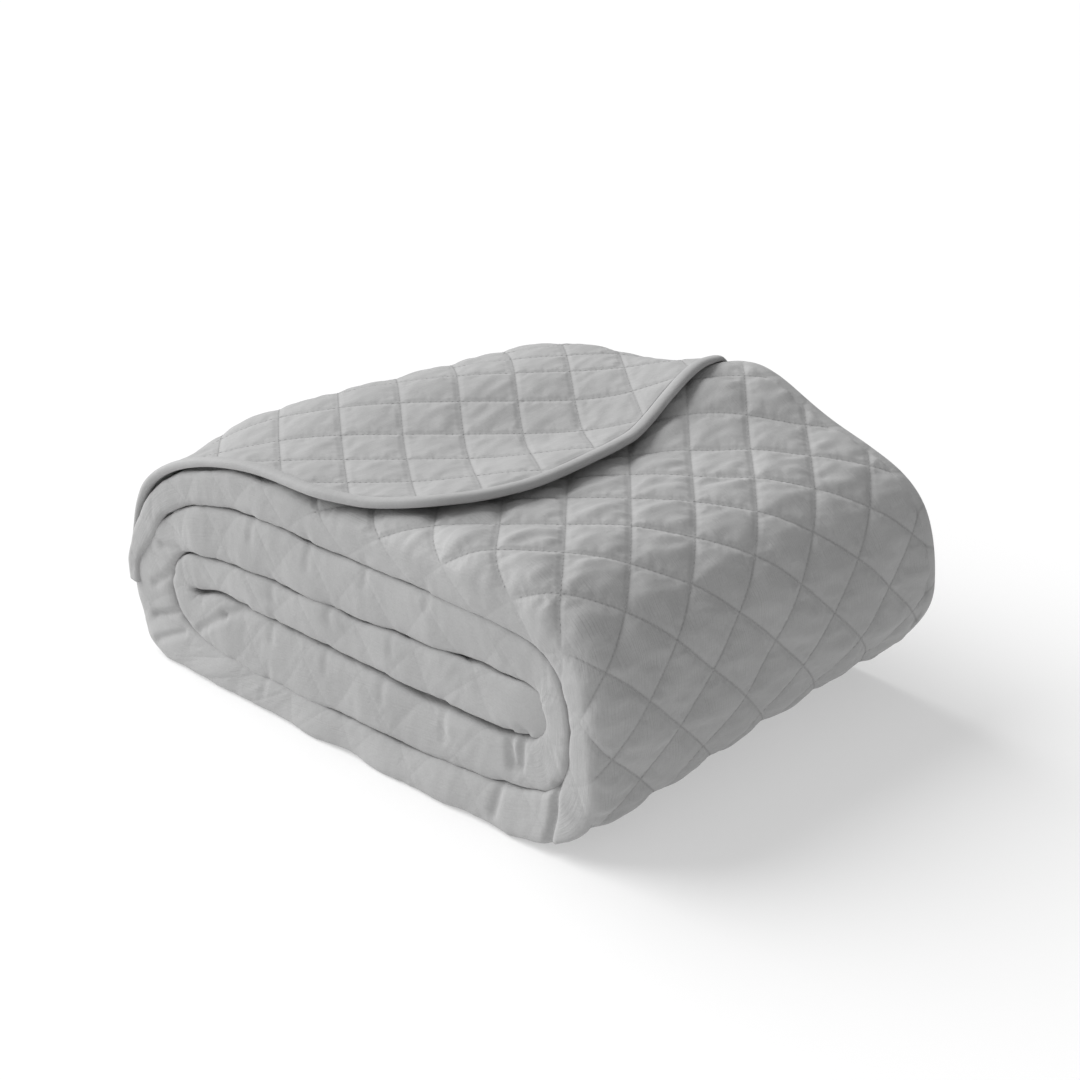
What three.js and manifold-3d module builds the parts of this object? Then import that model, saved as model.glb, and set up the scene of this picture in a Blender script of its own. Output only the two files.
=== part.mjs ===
// Quilted bedspread, folded lengthwise into a thick strip and rolled flat.
// Millimetres. +X runs along the rolled end face, +Y towards the back, +Z up.
import * as THREE from 'three';
import Module from 'manifold-3d';

// Driving sizes of the cloth
const SQUARE = 45;                          // side of one stitched square
const STEP = SQUARE * Math.SQRT2 / 4;       // mesh points, four to each diamond
const GROOVE = 4.5;                         // how far a seam sinks below the puffs
const PLY = 7;                              // one thickness of quilted cloth
const BINDING_WIDTH = 9;
const BINDING_THICK = 9;
const CLEAR = 0.5;                          // air between binding and panel

// Driving sizes of the roll
const LAYER_GAP = 1.6;                      // air between two turns of the strip
const FLAP_GAP = 1.4;                       // air between the flap and the turn below
const FRONT = -197;                         // nose of the front folds at the left end
const SKEW = 0.075;                         // the rolled end runs back to the right
const FOLD = 15;                            // how far the front folds round over
const BACK = 199;                           // nose of the folds at the back
const BACK_FOLD = 15;                       // how far the back folds round over
const LEFT = -255;
const BLUNT = 0.5;                          // 1 rounds a front fold evenly, less squares it
const NOSE_LENGTH = 0.88;                   // round a blunt fold, for each mm of its half widths
const NOSE_CALM = 0.7;                      // how far the seams fade on the front folds
const THIN = 20;                            // below this thickness seams sink less
const THICKEST = 60;                        // thickest place of the strip
const DOME = 23;                            // the top is fullest behind its front edge
const DOME_SLANT = [-0.76, 0.65];           // and rises this way, in x and y
const DOME_FALL = 0.65;                     // but falls again at the back left
const HUMP = 19;                            // rise under the flap's edge at the back
const HUMP_X = 72;
const HUMP_WIDTH = 43;
const TUCK = 34;                            // the right side curls under at the back
const LEAN = 24;                            // the left shoulder leans in at the back
const LIFT = 5;                             // the flap's free edge stands off
const SPLAY = 10;                           // the lowest turn stands out in front
const SEAM_X = 81;                          // two seams cross here on the top,
const SEAM_Y = 44;                          // and here across it
const FOOT_MIDDLE = [1.6, 1.45];            // middle of the ground that it covers

// Stretches over which each part of the lie sets in, from none to all of it
const SETS_IN = {
  deep: [FRONT, BACK], behindFront: [0, 90], backEnd: [145, 205], humpDeep: [40, 150],
  low: [95, 0], foot: [35, 0], upper: [60, 150], crest: [140, 190],
  rightSide: [90, 240], leftSide: [40, -140], leftHalf: [110, -20], freeEdge: [20, 80], edgeBack: [180, 90],
  domeSlant: [-28, 104],
};

// Boundary between the turns of the strip, one row for each place round the
// roll, from the innermost line outwards. Each entry is [x, z].
const TURN_ROWS = [
  { place: 'top right', core: [199, 76], first: [199, 114], second: [194, 149], third: [191, 192] },
  { place: 'top middle', core: [14, 75], first: [14, 109], second: [14, 154], third: [14, 191] },
  { place: 'top left', core: [-126, 78], first: [-126, 107], second: [-126, 153], third: [-126, 183] },
  { place: 'left upper', core: [-157, 75], first: [-177, 99], second: [-196, 127], third: [-206, 148] },
  { place: 'left middle', core: [-166, 70], first: [-192, 73], second: [-233, 80], third: [-244, 84] },
  { place: 'left lower', core: [-157, 65], first: [-184, 41], second: [-238, 31], third: [-248, 29] },
  { place: 'bottom left', core: [-126, 73], first: [-144, 25], second: [-204, 0] },
  { place: 'bottom middle', core: [14, 72], first: [14, 24], second: [14, 0] },
  { place: 'bottom right', core: [178, 71], first: [171, 31], second: [184, 0] },
  { place: 'right lower', core: [203, 82], first: [216, 46], second: [242, 23] },
  { place: 'right middle', core: [206, 96], first: [230, 89], second: [260, 87] },
  { place: 'right upper', core: [204, 106], first: [220, 131], second: [243, 162] },
];
const PLACES = TURN_ROWS.length;
const TOP = 3 * PLACES;                     // the last turn begins at the top right
const STRIP_END = TOP + 4.5;                // and ends low on the left shoulder
const FLAP_START = TOP + 0.35;
const FLAP_RELIEF = 0.8;                    // the flap's seams sink less deep
const FLAP_BACK = 8;                        // how far the flap stops short of the back
const FLAP_BEVEL = 3;                       // slant of its back edge
const TURN_UP = { place: STRIP_END - 0.06, into: 0.5, back: 8, curveSegments: 5 };
const BEYOND = { left: 60, back: 20, up: 300 };   // reach of the block that cuts the flap
const BINDING = { steps: 24, edge: 40, sides: 8 };
const LENGTH_STEPS = 400;                   // samples a place, to measure length
const HALVINGS = 30;

// Stretches of the strip whose whole outer face shows, in places along it
const SHOWN = [
  { from: 2 * PLACES + 4.3, to: 2 * PLACES + 6.1 },
  { from: 2 * PLACES + 8.1, to: TOP + 1.1 },
];

// Edge of the flap from above, from the end face round the corner to the back
const EDGE_ROWS = [
  { place: 'front', x: -70, y: -182 },
  { place: 'corner starts', x: 0, y: -176 },
  { place: 'corner', x: 72, y: -142 },
  { place: 'corner ends', x: 99, y: -84 },
  { place: 'free edge', x: 93, y: 0 },
  { place: 'free edge, back', x: 70, y: 100 },
  { place: 'back', x: 48, y: 192 },
];

// Profile of the back end: two folds stacked, with a groove between them
const BACK_ROWS = [
  { share: 1, back: 1 }, { share: 0.92, back: 0.35 }, { share: 0.75, back: 0 }, { share: 0.5, back: 0.7 },
  { share: 0.25, back: 0 }, { share: 0.08, back: 0.35 }, { share: 0, back: 1 },
];

const wasm = await Module();
wasm.setup();

const roll = new THREE.CatmullRomCurve3(
  ['core', 'first', 'second', 'third'].flatMap((turn) =>
    TURN_ROWS.filter((row) => row[turn]).map((row) => new THREE.Vector3(row[turn][0], 0, row[turn][1]))),
  false, 'centripetal');
const LAST = roll.points.length - 1;

// Smooth step from 0 to 1
function ease(value) {
  const t = Math.min(1, Math.max(0, value));
  return t * t * (3 - 2 * t);
}

// 0 up to the stretch, 1 past it
function between(value, [from, to]) {
  return ease((value - from) / (to - from));
}

function frontAt(x) {
  return FRONT + SKEW * (x - LEFT);
}

// Boundary of the strip at a place along the roll, never below the floor
function boundary(place) {
  const point = roll.getPoint(Math.min(1, place / LAST));
  point.z = Math.max(0, point.z);
  return point;
}

// Inner and outer face of the strip at a place, and the way out between them
function layerAt(place) {
  const outer = boundary(place);
  const inner = boundary(place - PLACES);
  const out = outer.clone().sub(inner).normalize();
  inner.addScaledVector(out, LAYER_GAP);
  return { inner, out, thick: inner.distanceTo(outer) };
}

// Lie of the whole roll: the right side curls under and the left shoulder
// leans in towards the back, and the top is fullest behind the front edge.
function settle(point) {
  const { x, y, z } = point;
  const deep = between(y, SETS_IN.deep);
  const tuck = TUCK * deep * between(z, SETS_IN.low) * between(x, SETS_IN.rightSide);
  const lean = LEAN * deep * between(x, SETS_IN.leftSide);
  const slant = between(DOME_SLANT[0] * x + DOME_SLANT[1] * y, SETS_IN.domeSlant);
  const fall = DOME_FALL * between(y, SETS_IN.backEnd) * between(x, SETS_IN.leftHalf);
  const dome = DOME * slant * between(y - frontAt(x), SETS_IN.behindFront) * (1 - fall);
  const hump = HUMP * Math.exp(-(((x - HUMP_X) / HUMP_WIDTH) ** 2)) * between(y, SETS_IN.humpDeep);
  point.x += lean - tuck;
  point.y -= SPLAY * between(z, SETS_IN.foot) * (1 - deep);
  point.z = Math.max(0, z + dome * between(z, SETS_IN.upper) + hump * between(z, SETS_IN.crest));
  return point;
}

// Puff of the quilting at a mesh point: 0 on a seam, 1 in mid diamond
function puff(i, j) {
  const across = (n) => Math.min(((n % 4) + 4) % 4, 4 - (((n % 4) + 4) % 4));
  return [0, 0.7, 1][Math.min(across(i + j), across(i - j))];
}

// Closed solid from a row of rings with their points in the same order. Points
// that fall together are joined, and the triangles between them are left out.
function solidFromRings(rings, firstColumn = 0, firstRow = 0) {
  const found = new Map();
  const places = [];
  const triangles = [];
  const number = (point) => {
    const key = point.toArray().map((value) => value.toFixed(3)).join();
    if (!found.has(key)) {
      found.set(key, places.length / 3);
      places.push(...point.toArray());
    }
    return found.get(key);
  };
  const add = (a, b, c) => {
    if (a !== b && b !== c && a !== c) triangles.push(a, b, c);
  };
  const indexed = rings.map((ring) => ring.map(number));
  for (let i = 0; i + 1 < rings.length; i += 1) {
    for (let j = 0; j < rings[i].length; j += 1) {
      const next = (j + 1) % rings[i].length;
      const [a, b] = [indexed[i][j], indexed[i + 1][j]];
      const [c, d] = [indexed[i + 1][next], indexed[i][next]];
      if ((i + firstColumn - j - firstRow) % 2 === 0) {
        add(a, c, b);
        add(a, d, c);
      } else {
        add(a, d, b);
        add(b, d, c);
      }
    }
  }
  const cap = (end, turned) => {
    const middle = rings[end].reduce((sum, point) => sum.add(point), new THREE.Vector3());
    const centre = number(middle.divideScalar(rings[end].length));
    indexed[end].forEach((a, j) => {
      const b = indexed[end][(j + 1) % rings[end].length];
      if (turned) add(centre, a, b);
      else add(centre, b, a);
    });
  };
  cap(0, false);
  cap(rings.length - 1, true);
  return new wasm.Manifold(new wasm.Mesh({
    numProp: 3,
    vertProperties: new Float32Array(places),
    triVerts: new Uint32Array(triangles),
  }));
}

// Places along the roll at even steps of the outer face's length, numbered
// from the crossing of seams on the top.
function columnPlaces(from, to) {
  const samples = [];
  let length = 0;
  for (let k = 0; k <= LENGTH_STEPS * (to - from); k += 1) {
    const place = from + k / LENGTH_STEPS;
    if (k > 0) length += boundary(place).distanceTo(boundary(place - 1 / LENGTH_STEPS));
    samples.push({ place, length, x: boundary(place).x });
  }
  const crossing = samples.find((sample) => sample.place > TOP && sample.x <= SEAM_X);
  const columns = [];
  let column = Math.ceil((samples[0].length - crossing.length) / STEP);
  for (const sample of samples) {
    if (sample.length - crossing.length >= column * STEP) {
      columns.push({ place: sample.place, column });
      column += 1;
    }
  }
  return columns;
}

// Angle round a blunt fold, at even steps of its length from 0 to 2
function noseTilt(arc) {
  const quarter = arc < 1 ? arc : 2 - arc;
  const share = 0.5 * (2 * Math.min(quarter, 1 - quarter)) ** (1 / BLUNT);
  const turned = quarter < 0.5 ? share : 1 - share;
  return (arc < 1 ? turned : 2 - turned) * Math.PI / 2;
}

// Point of the strip's skin. A row is a place along the depth on the outer
// face, and rows past the front edge roll over the fold to the inner face.
function skinPoint(layer, column, row, shown) {
  const front = frontAt(layer.inner.x);
  const along = SEAM_Y + row * STEP;
  const arc = Math.min(2, Math.max(0, (front + FOLD - along) / (NOSE_LENGTH * (FOLD + layer.thick / 2))));
  const tilt = noseTilt(arc);
  const level = Math.sign(Math.cos(tilt)) * Math.abs(Math.cos(tilt)) ** BLUNT;
  const onFace = shown ? Math.min(along, BACK - BACK_FOLD) : (along < 0 ? front + FOLD : BACK - BACK_FOLD);
  const y = arc > 0 ? front + FOLD * (1 - Math.abs(Math.sin(tilt)) ** BLUNT) : onFace;
  const sinks = arc < 2 && (shown || arc > 0);
  const calm = Math.min(1, layer.thick / THIN) * (1 - NOSE_CALM * ease(1 - Math.abs(arc - 1)));
  const sunk = sinks ? GROOVE * (1 - puff(column, row)) * calm : 0;
  const height = layer.thick * (1 + level) / 2 - sunk * Math.cos(tilt);
  const point = layer.inner.clone().addScaledVector(layer.out, height);
  point.y = y + sunk * Math.sin(tilt);
  return settle(point);
}

function backPoint(layer, row) {
  const point = layer.inner.clone().addScaledVector(layer.out, row.share * layer.thick);
  point.y = BACK - row.back * BACK_FOLD;
  return settle(point);
}

// The wound strip: several plies folded into one thick band
function buildStrip() {
  const firstRow = Math.floor((FRONT + FOLD - 2 * NOSE_LENGTH * (FOLD + THICKEST / 2) - SEAM_Y) / STEP);
  const lastRow = Math.floor((BACK - BACK_FOLD - SEAM_Y) / STEP);
  const columns = columnPlaces(PLACES, STRIP_END);
  const rings = columns.map(({ place, column }) => {
    const layer = layerAt(place);
    const shown = SHOWN.some((part) => place > part.from && place < part.to);
    const ring = [];
    for (let row = firstRow; row <= lastRow; row += 1) ring.push(skinPoint(layer, column, row, shown));
    BACK_ROWS.forEach((row) => ring.push(backPoint(layer, row)));
    return ring;
  });
  return solidFromRings(rings, columns[0].column, firstRow);
}

// Point over the last turn, at a height above its face and a place in depth
function overTop(place, y, height) {
  const point = boundary(place);
  const tangent = roll.getTangent(Math.min(1, place / LAST));
  const stand = LIFT * between(point.x, SETS_IN.freeEdge) * between(y, SETS_IN.edgeBack) + height;
  point.add(new THREE.Vector3(tangent.z, 0, -tangent.x).normalize().multiplyScalar(stand));
  point.y = y;
  return settle(point);
}

// Edge of the flap from above, moved in from its outer line
function edgeCurve(inset) {
  const line = new THREE.CatmullRomCurve3(EDGE_ROWS.map((row) => new THREE.Vector3(row.x, row.y, 0)));
  return line.getSpacedPoints(BINDING.edge).map((point, k) => {
    const along = line.getTangentAt(k / BINDING.edge);
    return new THREE.Vector2(point.x - along.y * inset, point.y + along.x * inset);
  });
}

// One ply, which turns up at the strip's end and lies back over the top
function buildFlap() {
  const firstRow = Math.floor((FRONT - SEAM_Y) / STEP);
  const back = BACK - FLAP_BACK;
  const lastRow = Math.floor((back - SEAM_Y) / STEP);
  const columns = columnPlaces(PLACES, STRIP_END).filter(({ place }) => place > FLAP_START);
  const rings = columns.map(({ place, column }) => {
    const ring = [];
    for (let row = firstRow; row <= lastRow; row += 1) {
      const sunk = GROOVE * FLAP_RELIEF * (1 - puff(column, row));
      ring.push(overTop(place, SEAM_Y + row * STEP, FLAP_GAP + PLY - sunk));
    }
    ring.push(overTop(place, back, FLAP_GAP + PLY / 2));
    ring.push(overTop(place, back - FLAP_BEVEL, FLAP_GAP));
    ring.push(overTop(place, SEAM_Y + firstRow * STEP, FLAP_GAP));
    return ring;
  });
  const edge = edgeCurve(BINDING_WIDTH + CLEAR);
  const [left, behind] = [LEFT - BEYOND.left, BACK + BEYOND.back];
  const outline = new THREE.Shape([
    new THREE.Vector2(left, frontAt(left) + BINDING_WIDTH + CLEAR),
    ...edge,
    new THREE.Vector2(edge[edge.length - 1].x, behind),
    new THREE.Vector2(left, behind),
  ]);
  const block = new THREE.ExtrudeGeometry(outline, { depth: BEYOND.up, bevelEnabled: false });
  return solidFromRings(rings, columns[0].column, firstRow).intersect(solidOf(block));
}

// Turn-up that joins the flap to the end of the strip
function buildTurnUp() {
  const { inner, out, thick } = layerAt(TURN_UP.place);
  const across = thick + FLAP_GAP + PLY - 2 * TURN_UP.into;
  const middle = inner.clone().addScaledVector(out, TURN_UP.into + across / 2);
  const oval = new THREE.Shape().absellipse(0, 0, across / 2, PLY, 0, 2 * Math.PI);
  const depth = BACK - BACK_FOLD - FRONT - BINDING_WIDTH - TURN_UP.back;
  const { curveSegments } = TURN_UP;
  const bar = new THREE.ExtrudeGeometry(oval, { depth, bevelEnabled: false, curveSegments });
  bar.rotateX(Math.PI / 2);
  bar.rotateY(-Math.atan2(out.z, out.x));
  bar.translate(middle.x, BACK - BACK_FOLD, middle.z);
  const points = bar.attributes.position;
  for (let k = 0; k < points.count; k += 1) {
    const point = settle(new THREE.Vector3().fromBufferAttribute(points, k));
    points.setXYZ(k, point.x, point.y, point.z);
  }
  return solidOf(bar);
}

// Place along the roll where the top turn passes a given x
function placeAtX(x) {
  let [low, high] = [TOP, STRIP_END];
  for (let k = 0; k < HALVINGS; k += 1) {
    const middle = (low + high) / 2;
    if (boundary(middle).x > x) low = middle;
    else high = middle;
  }
  return low;
}

// Narrow strip of plain cloth sewn over the flap's raw edge
function buildBinding() {
  const edge = edgeCurve(BINDING_WIDTH / 2);
  const stations = [];
  for (let k = 0; k < BINDING.steps; k += 1) {
    const place = STRIP_END + (placeAtX(edge[0].x) - STRIP_END) * k / BINDING.steps;
    stations.push({ place, y: frontAt(boundary(place).x) + BINDING_WIDTH / 2 });
  }
  edge.forEach(({ x, y }) => stations.push({ place: placeAtX(x), y }));
  const middle = FLAP_GAP + PLY / 2;
  const rings = stations.map(({ place, y }, k) => {
    const centre = overTop(place, y, middle);
    const [before, after] = [stations[Math.max(0, k - 1)], stations[Math.min(stations.length - 1, k + 1)]]
      .map((station) => overTop(station.place, station.y, middle));
    const along = after.sub(before).normalize();
    const up = overTop(place, y, middle + 1).sub(centre).normalize();
    const side = new THREE.Vector3().crossVectors(along, up).normalize();
    return Array.from({ length: BINDING.sides }, (_, corner) => {
      const turn = -(corner + 0.5) * 2 * Math.PI / BINDING.sides;
      return centre.clone()
        .addScaledVector(side, BINDING_WIDTH / 2 * Math.cos(turn))
        .addScaledVector(up, BINDING_THICK / 2 * Math.sin(turn));
    });
  });
  return solidFromRings(rings);
}

// Solid of a closed three.js geometry
function solidOf(geometry) {
  const points = geometry.attributes.position;
  const found = new Map();
  const places = [];
  const joined = [];
  for (let k = 0; k < points.count; k += 1) {
    const point = [points.getX(k), points.getY(k), points.getZ(k)];
    const key = point.map((value) => value.toFixed(3)).join();
    if (!found.has(key)) {
      found.set(key, places.length / 3);
      places.push(...point);
    }
    joined.push(found.get(key));
  }
  const order = geometry.index ? Array.from(geometry.index.array) : joined.map((_, k) => k);
  return new wasm.Manifold(new wasm.Mesh({
    numProp: 3,
    vertProperties: new Float32Array(places),
    triVerts: new Uint32Array(order.map((k) => joined[k])),
  }));
}

function meshOf(solid, name, material) {
  const { vertProperties, triVerts } = solid.getMesh();
  const geometry = new THREE.BufferGeometry();
  geometry.setAttribute('position', new THREE.BufferAttribute(Float32Array.from(vertProperties), 3));
  geometry.setIndex(new THREE.BufferAttribute(Uint32Array.from(triVerts), 1));
  geometry.computeVertexNormals();
  const mesh = new THREE.Mesh(geometry, material);
  mesh.name = name;
  return mesh;
}

const clothLook = new THREE.MeshStandardMaterial({ color: 0xa9a9aa, roughness: 0.92, metalness: 0 });
const bindingLook = new THREE.MeshStandardMaterial({ color: 0xa3a3a5, roughness: 0.95, metalness: 0 });
const bedspread = new THREE.Group();
bedspread.add(meshOf(buildStrip().add(buildTurnUp()).add(buildFlap()), 'quilt', clothLook));
bedspread.add(meshOf(buildBinding(), 'edge_binding', bindingLook));
bedspread.position.set(-FOOT_MIDDLE[0], -FOOT_MIDDLE[1], 0);
export default bedspread;
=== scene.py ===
"""Looks of a quilted bedspread, folded lengthwise into a thick strip and rolled flat.

The cloth is built in millimetres, in the frame of the part: X runs along the
rolled end face, Y towards the back and Z up. It becomes metres in the meshes.
"""

import logging
import math
from dataclasses import dataclass, field
from enum import Enum

import bpy
import numpy as np
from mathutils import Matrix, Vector


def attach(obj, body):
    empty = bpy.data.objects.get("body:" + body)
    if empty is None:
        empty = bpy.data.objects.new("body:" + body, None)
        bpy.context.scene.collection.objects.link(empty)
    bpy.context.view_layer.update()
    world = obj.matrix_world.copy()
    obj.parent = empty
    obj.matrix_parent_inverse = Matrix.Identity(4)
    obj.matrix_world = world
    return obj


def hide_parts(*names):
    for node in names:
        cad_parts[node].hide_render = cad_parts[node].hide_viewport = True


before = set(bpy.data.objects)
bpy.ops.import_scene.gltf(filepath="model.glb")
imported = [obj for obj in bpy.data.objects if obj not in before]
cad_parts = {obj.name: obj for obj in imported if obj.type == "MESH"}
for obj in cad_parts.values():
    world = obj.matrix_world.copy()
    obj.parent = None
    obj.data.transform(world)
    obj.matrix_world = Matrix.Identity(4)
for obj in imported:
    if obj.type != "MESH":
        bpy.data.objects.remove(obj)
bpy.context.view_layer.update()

MM = 0.001
TINY = 1e-9  # keeps a division off zero
FINE_STEPS = 4000  # steps in which a line's length is measured
JOIN_DECIMALS = 3  # decimals of a millimetre to which two points are one
LOG = logging.getLogger("bedspread")
Array = np.ndarray


# ---------------------------------------------------------------- plain maths


def ease(value: Array) -> Array:
    """Smooth step from 0 to 1."""
    t = np.clip(value, 0.0, 1.0)
    return t * t * (3 - 2 * t)


def bell(value: Array) -> Array:
    """Smooth bump, 1 at 0."""
    return np.exp(-np.square(value))


def blunted(value: Array, power: Array) -> Array:
    """Value from -1 to 1 to a power, with its sign kept."""
    return np.sign(value) * np.abs(value) ** power


def unit(vectors: Array) -> Array:
    """Vectors along the last axis, made one long."""
    return vectors / np.maximum(np.linalg.norm(vectors, axis=-1, keepdims=True), TINY)


@dataclass(frozen=True)
class Span:
    """Stretch over which something sets in, upwards or downwards.

    Attributes:
        start: Value up to which there is none of it.
        full: Value from which there is all of it.
    """

    start: float
    full: float

    def at(self, value: Array) -> Array:
        """Share of it at a value, 0 to 1 and smooth in between."""
        return ease((value - self.start) / (self.full - self.start))


class SmoothLine:
    """Smooth line through points, which keeps tight bends free of loops."""

    def __init__(self, points: Array) -> None:
        """Keeps the points, one a row, with one more past each end."""
        self.last = len(points) - 1
        self.points = np.vstack([2 * points[0] - points[1], points, 2 * points[-1] - points[-2]])

    def at(self, places: Array) -> Array:
        """Points at places, which are counted in points from 0.

        Args:
            places: The places, in an array of any shape.

        Returns:
            The points, along one more axis than the places have.
        """
        place = np.clip(np.asarray(places, float), 0, self.last)
        k = np.minimum(place.astype(int), self.last - 1)
        w = (place - k)[..., None]
        p0, p1, p2, p3 = (self.points[k + n] for n in range(4))
        d0, d1, d2 = (
            np.maximum(np.sqrt(np.linalg.norm(q - p, axis=-1)), TINY)[..., None]
            for p, q in ((p0, p1), (p1, p2), (p2, p3))
        )
        t1 = ((p1 - p0) / d0 - (p2 - p0) / (d0 + d1) + (p2 - p1) / d1) * d1
        t2 = ((p2 - p1) / d1 - (p3 - p1) / (d1 + d2) + (p3 - p2) / d2) * d1
        cubed = 2 * p1 - 2 * p2 + t1 + t2
        squared = 3 * p2 - 3 * p1 - 2 * t1 - t2
        return p1 + w * (t1 + w * (squared + w * cubed))

    def spaced(self, count: int) -> Array:
        """So many points at even steps of length, one a row."""
        return resampled(self.at(np.linspace(0, self.last, FINE_STEPS)), count)


def lengths_along(points: Array) -> Array:
    """Length from the first point to each point of a line."""
    steps = np.linalg.norm(np.diff(points, axis=0), axis=1)
    return np.concatenate([[0.0], np.cumsum(steps)])


def resampled(points: Array, count: int) -> Array:
    """A line's points moved to even steps of length.

    Args:
        points: The line's points, one a row.
        count: How many points the new line has.

    Returns:
        The new points, one a row.
    """
    length = lengths_along(points)
    wanted = np.linspace(0, length[-1], count)
    return np.column_stack([np.interp(wanted, length, axis) for axis in points.T])


@dataclass(frozen=True)
class Ripples:
    """Uneven waves of soft cloth, the same in each run.

    Attributes:
        length: Usual length of a wave, mm.
        seed: Which of the possible fields this is.
        stretch: How much longer the waves run along the second axis.
        count: How many plane waves are added up.
        shortest: Share of the usual length that the shortest waves have.
        longest: Share that the longest have.
        size: Height of their sum, where 1 is its usual swing.
    """

    length: float
    seed: int
    stretch: float = 1.0
    count: int = 36
    shortest: float = 0.6
    longest: float = 1.7
    size: float = 0.6

    def at(self, *axes: Array) -> Array:
        """Height of the waves, about -1 to 1.

        Args:
            axes: Two or three coordinates of the points, mm.

        Returns:
            The height at each point.
        """
        numbers = np.random.default_rng(self.seed)
        total = 0.0
        for _ in range(self.count):
            way = numbers.normal(size=len(axes))
            way /= np.linalg.norm(way)
            way[1] /= self.stretch
            turn = 2 * math.pi / (self.length * numbers.uniform(self.shortest, self.longest))
            start = numbers.uniform(0, 2 * math.pi)
            total = total + np.cos(sum(w * turn * a for w, a in zip(way, axes)) + start)
        return total * math.sqrt(2 / self.count) * self.size


# ---------------------------------------------------------- form of the roll


class Turn(Enum):
    """Boundary lines between the turns of the strip, from the inside out."""

    CORE = 0
    FIRST = 1
    SECOND = 2
    THIRD = 3


# Where the boundary lines pass, as (x, z) in mm, at each place round the roll
TURN_ROWS = (
    ("top right", (199, 76), (199, 114), (194, 149), (191, 192)),
    ("top middle", (14, 75), (14, 109), (14, 154), (14, 191)),
    ("top left", (-126, 78), (-126, 107), (-126, 153), (-126, 183)),
    ("left upper", (-160, 74), (-177, 99), (-196, 127), (-206, 148)),
    ("left middle", (-166, 72), (-192, 73), (-244, 82), (-247, 83)),
    ("left lower", (-160, 70), (-184, 41), (-246, 31), (-249, 30)),
    ("bottom left", (-126, 76), (-144, 25), (-204, 0)),
    ("bottom middle", (14, 72), (14, 24), (14, 0)),
    ("bottom right", (178, 71), (171, 31), (184, 0)),
    ("right lower", (203, 82), (216, 46), (242, 23)),
    ("right middle", (206, 96), (230, 89), (260, 87)),
    ("right upper", (204, 106), (220, 131), (243, 162)),
)


@dataclass(frozen=True)
class Crease:
    """A short pinch where the front folds were pressed together.

    Attributes:
        start: X and z of one end on the rolled end face, mm.
        end: X and z of the other end, mm.
        depth: How deep it is, mm.
        width: How far it spreads to each side, mm.
    """

    start: tuple[float, float]
    end: tuple[float, float]
    depth: float = 1.1
    width: float = 3.8

    def at(self, x: Array, z: Array) -> Array:
        """Depth of the crease at points of the end face.

        Args:
            x: X of the points, mm.
            z: Z of the points, mm.

        Returns:
            The depth at each point, mm.
        """
        way = np.subtract(self.end, self.start)
        share = ((x - self.start[0]) * way[0] + (z - self.start[1]) * way[1]) / (way @ way)
        share = np.clip(share, 0, 1)
        away = np.hypot(x - self.start[0] - share * way[0], z - self.start[1] - share * way[1])
        return self.depth * bell(away / self.width)


CREASES = (
    Crease(start=(-202, 99), end=(-180, 102), depth=2.4, width=3.5),
    Crease(start=(-215, 62), end=(-190, 79), depth=2.6, width=3.5),
    Crease(start=(-222, 30), end=(-189, 45), depth=3.4, width=3.2),
    Crease(start=(-212, 14), end=(-182, 29), depth=2.6, width=3.5),
    Crease(start=(-162, 38), end=(-128, 62), depth=2.6),
    Crease(start=(-128, 62), end=(-99, 78), depth=2.6),
    Crease(start=(-86, 159), end=(-88, 138)),
    Crease(start=(-23, 160), end=(-26, 134)),
    Crease(start=(38, 162), end=(36, 140)),
    Crease(start=(99, 159), end=(98, 142)),
    Crease(start=(-67, 112), end=(-68, 95)),
    Crease(start=(-3, 113), end=(-4, 98)),
    Crease(start=(62, 111), end=(61, 97)),
    Crease(start=(-68, 80), end=(-71, 60)),
    Crease(start=(-9, 78), end=(-11, 55)),
    Crease(start=(51, 76), end=(49, 52)),
    Crease(start=(112, 75), end=(111, 44)),
    Crease(start=(-78, 33), end=(-79, 13)),
    Crease(start=(167, 30), end=(167, 12), depth=3, width=4),
    Crease(start=(174, 76), end=(177, 50), depth=3.2),
    Crease(start=(187, 80), end=(184, 52), depth=4),
    Crease(start=(219, 52), end=(219, 8), depth=4.5, width=3),
)


@dataclass(frozen=True)
class Layer:
    """The strip between two boundary lines, at places along it.

    Attributes:
        inner: Its inner face, as (x, z), mm.
        out: The way from there to its outer face.
        thick: Its thickness, mm.
    """

    inner: Array
    out: Array
    thick: Array


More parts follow.
